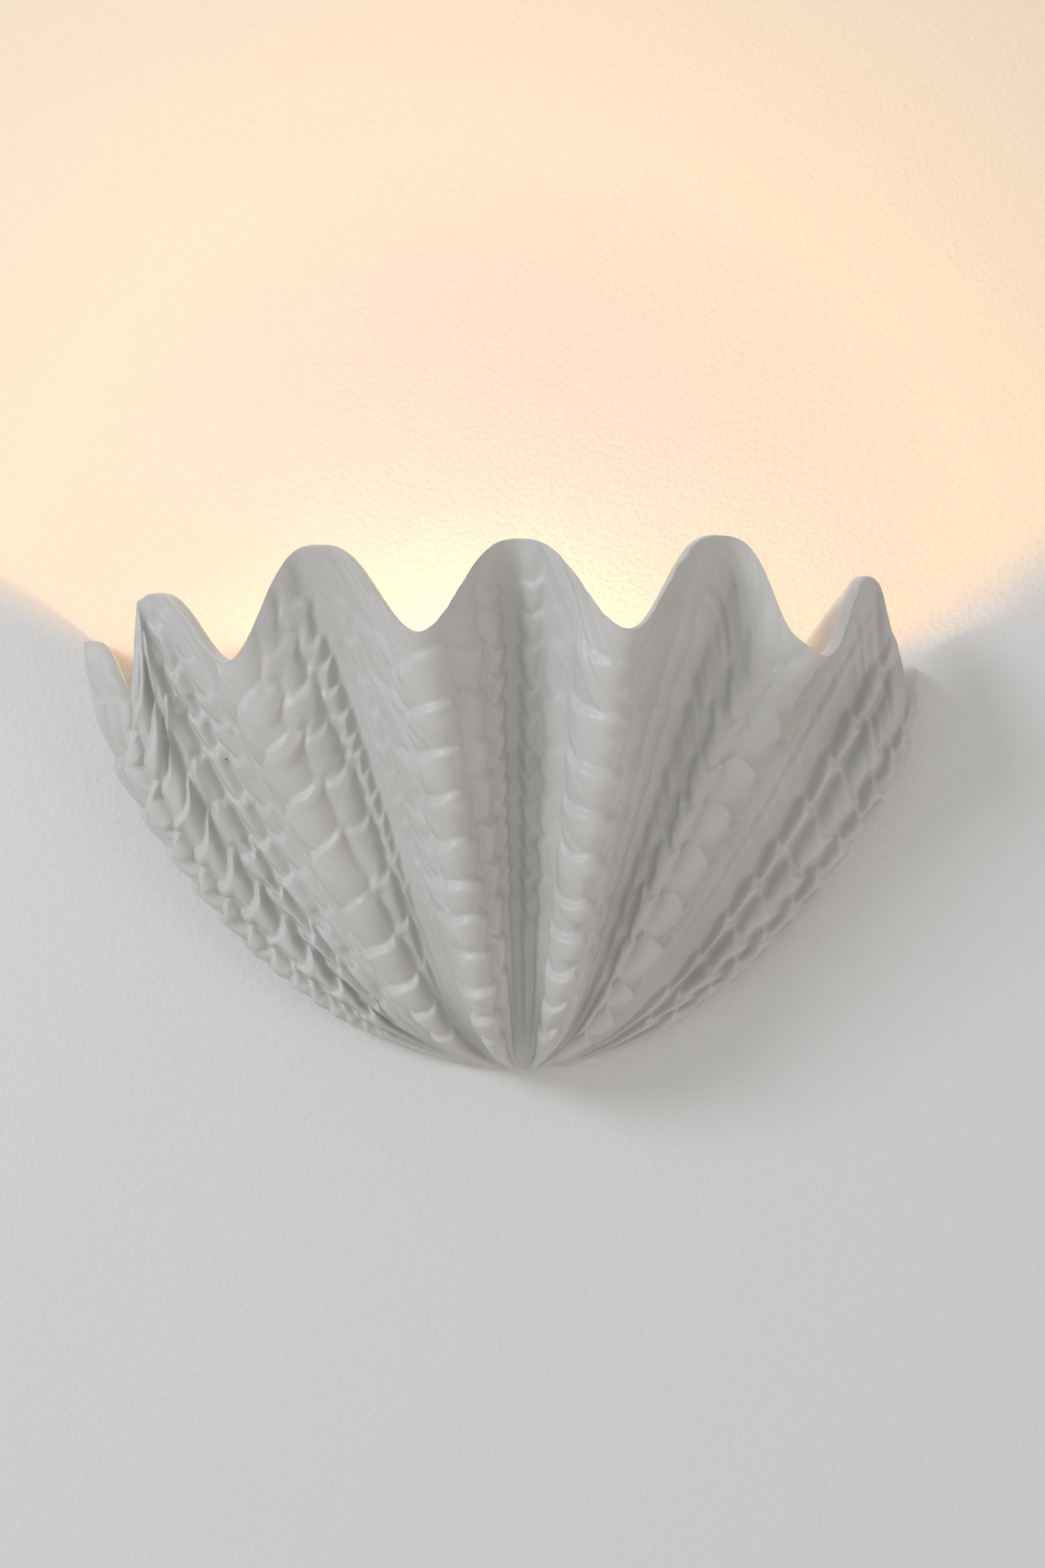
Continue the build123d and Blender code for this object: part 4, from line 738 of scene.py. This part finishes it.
def coordinates(tree, socket="Object", stretch=(1, 1, 1)):
    """Object coordinates, or the shell's own map, stretched."""
    if socket == "Object":
        source = add(tree, "ShaderNodeTexCoord").outputs["Object"]
    else:
        source = add(tree, "ShaderNodeUVMap", {"uv_map": socket}).outputs["UV"]
    return add(tree, "ShaderNodeMapping", Vector=source, Scale=stretch).outputs["Vector"]


def cast_stoneware():
    """Cast white stoneware under a thin matt glaze: soft gloss, faint wrinkles and pores of the mould."""
    made, tree, shader = material("cast_stoneware_matt_glaze", "CAC9C6", roughness=0.48)
    shader.inputs["Coat Weight"].default_value = 0.15
    shader.inputs["Coat Roughness"].default_value = 0.35
    along = coordinates(tree, "along_shell", (1, 0.22, 1))
    wrinkles = add(tree, "ShaderNodeTexNoise", Vector=along, Scale=620.0, Detail=3.0, Roughness=0.6)
    grit = add(tree, "ShaderNodeTexNoise", Vector=coordinates(tree), Scale=900.0, Detail=2.0)
    both = add(tree, "ShaderNodeMix", {"data_type": "FLOAT"}, Factor=0.45,
               _2=wrinkles.outputs["Fac"], _3=grit.outputs["Fac"])
    bump(tree, shader, both.outputs[0], 0.35)
    cloud = add(tree, "ShaderNodeTexNoise", Vector=coordinates(tree), Scale=22.0, Detail=4.0)
    tint = add(tree, "ShaderNodeValToRGB", Fac=cloud.outputs["Fac"])
    for stop, position, colour in zip(tint.color_ramp.elements, (0.35, 0.65), ("C4C3C0", "CCCBC9")):
        stop.position, stop.color = position, linear(colour)
    tree.links.new(tint.outputs["Color"], shader.inputs["Base Color"])
    return made


def bitten(name, colour, metallic, roughness, scale_mm, depth_mm, **sockets):
    """A finish with a fine even texture, such as powder coat, plating or moulded plastic."""
    made, tree, shader = material(name, colour, metallic, roughness, **sockets)
    noise = add(tree, "ShaderNodeTexNoise", Vector=coordinates(tree), Scale=1000.0 / scale_mm, Detail=2.0)
    bump(tree, shader, noise.outputs["Fac"], depth_mm)
    low, high = max(SMOOTHEST, roughness - GLOSS_SPREAD), roughness + GLOSS_SPREAD
    spread = add(tree, "ShaderNodeMapRange", Value=noise.outputs["Fac"], _3=low, _4=high)
    tree.links.new(spread.outputs["Result"], shader.inputs["Roughness"])
    return made


SMOOTHEST, GLOSS_SPREAD = 0.02, 0.06      # least roughness, and how far it varies over a surface


def finishes():
    """One material for each slot of the record."""
    made = {
        # Zinc passivated steel: grey blue, satin, with the crystals' faint mottle.
        "zinc_steel": bitten("zinc_plated_steel", "B9BCBF", 1.0, 0.34, 0.8, 0.01),
        # Powder coated sheet steel: a warm white with a fine orange peel.
        "white_steel": bitten("powder_coated_steel", "E6E4DE", 0.0, 0.42, 0.7, 0.03),
        # Turned brass: yellow, lightly scratched.
        "brass": bitten("turned_brass", "D3AE62", 1.0, 0.28, 0.5, 0.01),
        # Nickel plated brass of a lamp cap: warm grey mirror, a little hazy.
        "nickel": bitten("nickel_plate", "C9C3B8", 1.0, 0.22, 0.9, 0.005),
        # Moulded polyester of a lampholder: off-white, spark-eroded satin.
        "holder_plastic": bitten("moulded_polyester", "EAE7DE", 0.0, 0.38, 0.35, 0.02),
        # Glazed steatite: hard white gloss.
        "core_ceramic": bitten("glazed_steatite", "F1EEE6", 0.0, 0.16, 1.5, 0.01),
        # Felt pads: grey, rough and fibrous.
        "felt": bitten("pressed_felt", "8E8B86", 0.0, 0.95, 0.25, 0.12, Sheen_Weight=0.6),
        # EPDM grommets: near black, dull.
        "rubber": bitten("moulded_rubber", "202020", 0.0, 0.7, 0.4, 0.02),
        # Moulded polyamide of the terminal block: cool white, half gloss.
        "block_plastic": bitten("moulded_polyamide", "ECECE8", 0.0, 0.3, 0.6, 0.01),
        # PVC insulation of the three leads: smooth and slightly shiny.
        "brown_lead": bitten("brown_pvc_insulation", "5A3520", 0.0, 0.32, 1.0, 0.005),
        "blue_lead": bitten("blue_pvc_insulation", "2C5F9E", 0.0, 0.32, 1.0, 0.005),
        # Fused black glass of the bulb's insulator: a deep gloss.
        "black_glass": bitten("fused_black_glass", "15161A", 0.0, 0.08, 2.0, 0.002),
    }
    made["opal_glass"] = opal_glass()
    made["clear_glass"] = clear_glass()
    made["filament"] = phosphor()
    made["earth_lead"] = earth_insulation()
    made["cast_shell"] = cast_stoneware()
    return made


def opal_glass():
    """Opal coated bulb glass: milky, softly glowing, with a glossy skin."""
    return material("opal_coated_glass", "FBF3E4", roughness=0.12, Transmission_Weight=0.35,
                    IOR=1.5, Emission_Color=linear("FFDDAE"), Emission_Strength=0.9)[0]


def clear_glass():
    """Clear lead-free glass of the bulb's stem."""
    return material("clear_stem_glass", "FFFFFF", roughness=0.02, Transmission_Weight=1.0, IOR=1.5)[0]


def phosphor():
    """Silicone with yellow phosphor over the filaments: matt and glowing."""
    return material("phosphor_silicone", "F4C257", roughness=0.6,
                    Emission_Color=linear("FFC98A"), Emission_Strength=2.0)[0]


def earth_insulation():
    """PVC insulation in green and yellow, as two stripes that wind along the lead."""
    made, tree, shader = material("green_yellow_pvc_insulation", "5F9B2E", roughness=0.32)
    wave = add(tree, "ShaderNodeTexWave", {"bands_direction": "DIAGONAL"},
               Vector=coordinates(tree, stretch=(1, 1, 0.35)), Scale=170.0)
    stripes = add(tree, "ShaderNodeValToRGB", Fac=wave.outputs["Fac"])
    stripes.color_ramp.interpolation = "CONSTANT"
    for stop, position, colour in zip(stripes.color_ramp.elements, (0.0, 0.5), ("3F7F35", "D8C62E")):
        stop.position, stop.color = position, linear(colour)
    tree.links.new(stripes.outputs["Color"], shader.inputs["Base Color"])
    return made


def dress(made):
    """Gives every CAD node the finish of its slot."""
    for part in frame["record"]["subparts"]:
        node = frame["nodes"][part["node"]]
        node.data.materials.clear()
        node.data.materials.append(made[part["material_slot"]])


THREAD_PITCH = 2.822 * MM      # small screw cap
THREADED_SHARE = 0.62          # of the cap's height
THREAD_FROM_FOOT = 0.6         # share of the plain part of the cap that lies below the thread
RIDGE_RADIUS, RIDGE_HEIGHT = 0.9 * MM, 0.2 * MM


def cap_thread(finish):
    """The rolled thread of the bulb's cap: a round ridge that winds up it, inside the socket's gap."""
    low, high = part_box("bulb_cap")
    tree = bpy.data.node_groups.new("rolled_thread", "GeometryNodeTree")
    tree.interface.new_socket("Geometry", in_out="OUTPUT", socket_type="NodeSocketGeometry")
    rise = (high.z - low.z) * THREADED_SHARE
    radius = (high.x - low.x) / 2 - RIDGE_RADIUS + RIDGE_HEIGHT
    sizes = {"Turns": rise / THREAD_PITCH, "Radius": radius, "Rise": rise, "Ridge": RIDGE_RADIUS}
    sockets = {name: tree.interface.new_socket(name, in_out="INPUT", socket_type="NodeSocketFloat")
               for name in sizes}
    sockets["Finish"] = tree.interface.new_socket("Finish", in_out="INPUT", socket_type="NodeSocketMaterial")
    entry, leave = add(tree, "NodeGroupInput").outputs, add(tree, "NodeGroupOutput")
    spiral = add(tree, "GeometryNodeCurveSpiral", Resolution=48, Rotations=entry["Turns"],
                 Start_Radius=entry["Radius"], End_Radius=entry["Radius"], Height=entry["Rise"])
    ridge = add(tree, "GeometryNodeCurvePrimitiveCircle", Resolution=10, Radius=entry["Ridge"])
    swept = add(tree, "GeometryNodeCurveToMesh", Curve=spiral.outputs["Curve"],
                Profile_Curve=ridge.outputs["Curve"], Fill_Caps=True)
    smooth_faces = add(tree, "GeometryNodeSetShadeSmooth", Geometry=swept.outputs["Mesh"])
    start = ((low.x + high.x) / 2, (low.y + high.y) / 2, low.z + (high.z - low.z - rise) * THREAD_FROM_FOOT)
    placed = add(tree, "GeometryNodeTransform", Geometry=smooth_faces.outputs["Geometry"], Translation=start)
    whole = add(tree, "GeometryNodeRealizeInstances", Geometry=placed.outputs["Geometry"])
    coated = add(tree, "GeometryNodeSetMaterial", Geometry=whole.outputs["Geometry"],
                 Material=entry["Finish"])
    tree.links.new(coated.outputs["Geometry"], leave.inputs["Geometry"])
    carrier = new_piece("cap_thread_carrier", bpy.data.meshes.new("empty"))
    modifier = carrier.modifiers.new("rolled_thread", "NODES")
    modifier.node_group = tree
    for name, socket in sockets.items():
        modifier[socket.identifier] = sizes.get(name, finish)
    evaluated = carrier.evaluated_get(bpy.context.evaluated_depsgraph_get())
    mesh = bpy.data.meshes.new_from_object(evaluated)
    bpy.data.objects.remove(carrier)
    return new_piece("cap_thread", mesh)


# ---------------------------------------------------------------- stage and light
# The second colour is the wall's base colour inside the painted glow: painted warm lamp light.
WALL_COLOUR, PAINTED_GLOW_WALL_COLOUR = "E1E1E1", "DEDAD2"
# The painted glow's lower edges, painted shadow lines of the shell's two ends, rise to both sides of the
# lamp's middle, and grow softer with the distance: by EDGE_SOFTENING per metre from EDGE_START, but
# never below EDGE_SHARPEST.
WASH_MIDDLE_X, WASH_SLOPE, WASH_START_Z = -0.0125, 0.56, -0.024
EDGE_SOFTENING, EDGE_START, EDGE_SHARPEST = 0.16, -0.012, 0.004
EDGE_FROM, EDGE_TO = -0.5, 1.0
PAINTED_GLOW_CENTRE = (-0.008, 0.0, 0.09)
PAINTED_GLOW_TONES = [(0.07, (0.20, 0.0, 0.0, 1)), (0.24, (0.38, 0.19, 0.04, 1)), (0.42, (0.23, 0.12, 0.01, 1))]
# The patch behind the back plate, without painted glow, stays inside the plate's round corners.
PATCH_INSET = 5.5 * MM         # keeps the unlit patch inside the back plate's round corners


def painted_lamp_glow(tree, place):
    """Painted glow of the lamp on the wall: a warm emission fan above painted shadow lines of the shell's two
    ends.
    """
    apart = add(tree, "ShaderNodeSeparateXYZ", Vector=place)
    x, z = apart.outputs["X"], apart.outputs["Z"]

    def combine(operation, *values):
        sockets = {f"_{number}": value for number, value in enumerate(values)}
        return add(tree, "ShaderNodeMath", {"operation": operation}, **sockets).outputs[0]

    sideways = combine("ABSOLUTE", combine("SUBTRACT", x, WASH_MIDDLE_X))
    edge = combine("MULTIPLY_ADD", sideways, WASH_SLOPE, WASH_START_Z)
    softness = combine("MAXIMUM", combine("MULTIPLY_ADD", sideways, EDGE_SOFTENING, EDGE_START),
                       EDGE_SHARPEST)
    above = combine("DIVIDE", combine("SUBTRACT", z, edge), softness)
    # Mask of the painted glow: its lower edges are painted shadow lines of the shell's ends.
    painted_glow_mask = add(tree, "ShaderNodeMapRange", {"interpolation_type": "SMOOTHSTEP"}, Value=above,
                   _1=EDGE_FROM, _2=EDGE_TO).outputs["Result"]
    # The painted glow is left out behind the back plate.
    _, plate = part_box("back_plate")
    beside = combine("GREATER_THAN", combine("ABSOLUTE", x), plate.x - PATCH_INSET)
    clear = combine("MAXIMUM", beside, combine("GREATER_THAN", z, plate.z - PATCH_INSET))
    painted_glow_mask = combine("MULTIPLY", painted_glow_mask, clear)
    away = add(tree, "ShaderNodeVectorMath", {"operation": "DISTANCE"}, _0=place,
               _1=PAINTED_GLOW_CENTRE).outputs["Value"]
    tone = add(tree, "ShaderNodeValToRGB", Fac=away)
    tone.color_ramp.elements.new(0.5)
    for stop, (position, colour) in zip(tone.color_ramp.elements, PAINTED_GLOW_TONES):
        stop.position, stop.color = position, colour
    # The painted glow is an emission that only camera, glossy and transmission rays see; it lights nothing.
    path = add(tree, "ShaderNodeLightPath").outputs
    mirrored = combine("MAXIMUM", path["Is Glossy Ray"], path["Is Transmission Ray"])
    seen = combine("MAXIMUM", path["Is Camera Ray"], mirrored)
    # Inside the painted glow the wall's base colour is tinted warm: painted light.
    paint = add(tree, "ShaderNodeMix", {"data_type": "RGBA"}, Factor=painted_glow_mask, _6=linear(WALL_COLOUR),
                _7=linear(PAINTED_GLOW_WALL_COLOUR)).outputs[2]
    return paint, add(tree, "ShaderNodeEmission", Color=tone.outputs["Color"],
                      Strength=combine("MULTIPLY", painted_glow_mask, seen)).outputs["Emission"]


def wall_paint():
    """Matt emulsion on plaster, rolled on: pale, with a fine orange peel, and the lamp's painted glow with
    painted shadow edges.

    Seen from behind it is left out, so that the back of the object shows, and it lets light through.
    """
    made, tree, shader = material("rolled_wall_paint", WALL_COLOUR, roughness=0.9)
    place = coordinates(tree)
    peel = add(tree, "ShaderNodeTexNoise", Vector=place, Scale=330.0, Detail=3.0)
    bump(tree, shader, peel.outputs["Fac"], 0.5)
    path = add(tree, "ShaderNodeLightPath")
    side = add(tree, "ShaderNodeNewGeometry")
    behind = add(tree, "ShaderNodeMath", {"operation": "MULTIPLY"}, _0=side.outputs["Backfacing"],
                 _1=path.outputs["Is Camera Ray"])
    clear = add(tree, "ShaderNodeMath", {"operation": "MAXIMUM"}, _0=behind.outputs[0],
                _1=path.outputs["Is Shadow Ray"])
    # The lamp's painted glow on the wall, and the wall's base colour tinted warm inside it.
    paint, painted_glow = painted_lamp_glow(tree, place)
    tree.links.new(paint, shader.inputs["Base Color"])
    lit = add(tree, "ShaderNodeAddShader", _0=shader.outputs["BSDF"], _1=painted_glow)
    through = add(tree, "ShaderNodeBsdfTransparent")
    mixed = add(tree, "ShaderNodeMixShader", Fac=clear.outputs[0], _1=lit.outputs["Shader"],
                _2=through.outputs["BSDF"])
    tree.links.new(mixed.outputs["Shader"], tree.nodes["Material Output"].inputs["Surface"])
    return made


def plane(name, corners, made):
    """A stage plane, wound so that it faces the room."""
    mesh = bpy.data.meshes.new(name)
    mesh.from_pydata(corners, [], [(0, 1, 2, 3)])
    piece = new_piece(name, mesh, made)
    return piece


def area_light(name, at, size, power, colour):
    """Soft box that faces the object."""
    data = bpy.data.lights.new(name, "AREA")
    data.shape, data.size, data.energy = "DISK", size, power
    data.color = linear(colour)[:3]
    lamp = bpy.data.objects.new(name, data)
    bpy.context.scene.collection.objects.link(lamp)
    lamp.location = at
    x, y, z = at
    lamp.rotation_euler = (math.atan2(math.hypot(x, y), z), 0, math.atan2(-x, y) + math.pi)


WALL_Y, FLOOR_Z, WALL_TOP_Z, REACH = 0.3 * MM, -0.75, 2.4, 3.0
SOFT_BOXES = [
    ("key_light", (-1.85, -1.65, 1.0), 0.8, 27.5, "F6F9FF"),
    ("fill_light", (2.0, -1.5, -0.6), 1.2, 11, "FFEEDF"),
    ("rear_light", (0.4, 1.8, 0.9), 1.4, 12, "F8F8FF"),
]
GLOW_POWER, GLOW_COLOUR, GLOW_SIZE = 3.2, "FFD6A8", 0.012
GLOW_AT = (-4 * MM, -62 * MM, -40 * MM)
SKY_COLOUR, SKY_STRENGTH = "F2F3F3", 0.555


def stage():
    """Pale wall and floor, the studio's lamps and the glow of the bulb."""
    plane("wall", [(-REACH, WALL_Y, FLOOR_Z), (REACH, WALL_Y, FLOOR_Z), (REACH, WALL_Y, WALL_TOP_Z),
                   (-REACH, WALL_Y, WALL_TOP_Z)], wall_paint())
    plane("floor", [(-REACH, -REACH, FLOOR_Z), (REACH, -REACH, FLOOR_Z), (REACH, WALL_Y, FLOOR_Z),
                    (-REACH, WALL_Y, FLOOR_Z)], material("pale_floor", "DEDBD5", roughness=0.8)[0])
    for box in SOFT_BOXES:
        area_light(*box)
    glow = bpy.data.lights.new("bulb_light", "POINT")
    glow.energy, glow.color, glow.shadow_soft_size = GLOW_POWER, linear(GLOW_COLOUR)[:3], GLOW_SIZE
    lamp = bpy.data.objects.new("bulb_light", glow)
    bpy.context.scene.collection.objects.link(lamp)
    lamp.location = GLOW_AT
    world = bpy.data.worlds.new("studio")
    world.use_nodes = True
    world.node_tree.nodes["Background"].inputs["Color"].default_value = linear(SKY_COLOUR)
    world.node_tree.nodes["Background"].inputs["Strength"].default_value = SKY_STRENGTH
    bpy.context.scene.world = world
    bpy.context.scene.view_settings.view_transform = "Standard"


# Both are guesses, because one photograph of a shell fixes neither: a focal length of 3120 of its pixels
# and a distance of 1 m. The shell was then shaped until its outline lay close to the photograph's.
LENS, SENSOR_WIDTH = 47.755, 36.0
CAMERA_AT = (0, -1.0, 20.5 * MM)


def camera():
    """Camera square to the wall, 1 m away, with the guessed angle of view."""
    data = bpy.data.cameras.new("camera")
    data.sensor_width, data.sensor_fit = SENSOR_WIDTH, "AUTO"
    data.lens = LENS
    data.clip_start, data.clip_end = 0.05, 30
    made = bpy.data.objects.new("camera", data)
    bpy.context.scene.collection.objects.link(made)
    made.location = CAMERA_AT
    made.rotation_euler = (math.pi / 2, 0, 0)
    bpy.context.scene.camera = made


# ---------------------------------------------------------------- the scene
slots = finishes()
dress(slots)
lobes = lobes_of_shell(slots["cast_shell"])
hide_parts("shell_shade")
for piece in [*lobes, lugs(slots["cast_shell"])]:
    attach(piece, "shell")
thread = cap_thread(slots["nickel"])
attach(thread, "bulb")
# A lit bulb throws no shadow of its own parts.
for node in ("bulb_glass", "bulb_stem", "bulb_supports", "bulb_filaments"):
    frame["nodes"][node].visible_shadow = False
stage()
camera()
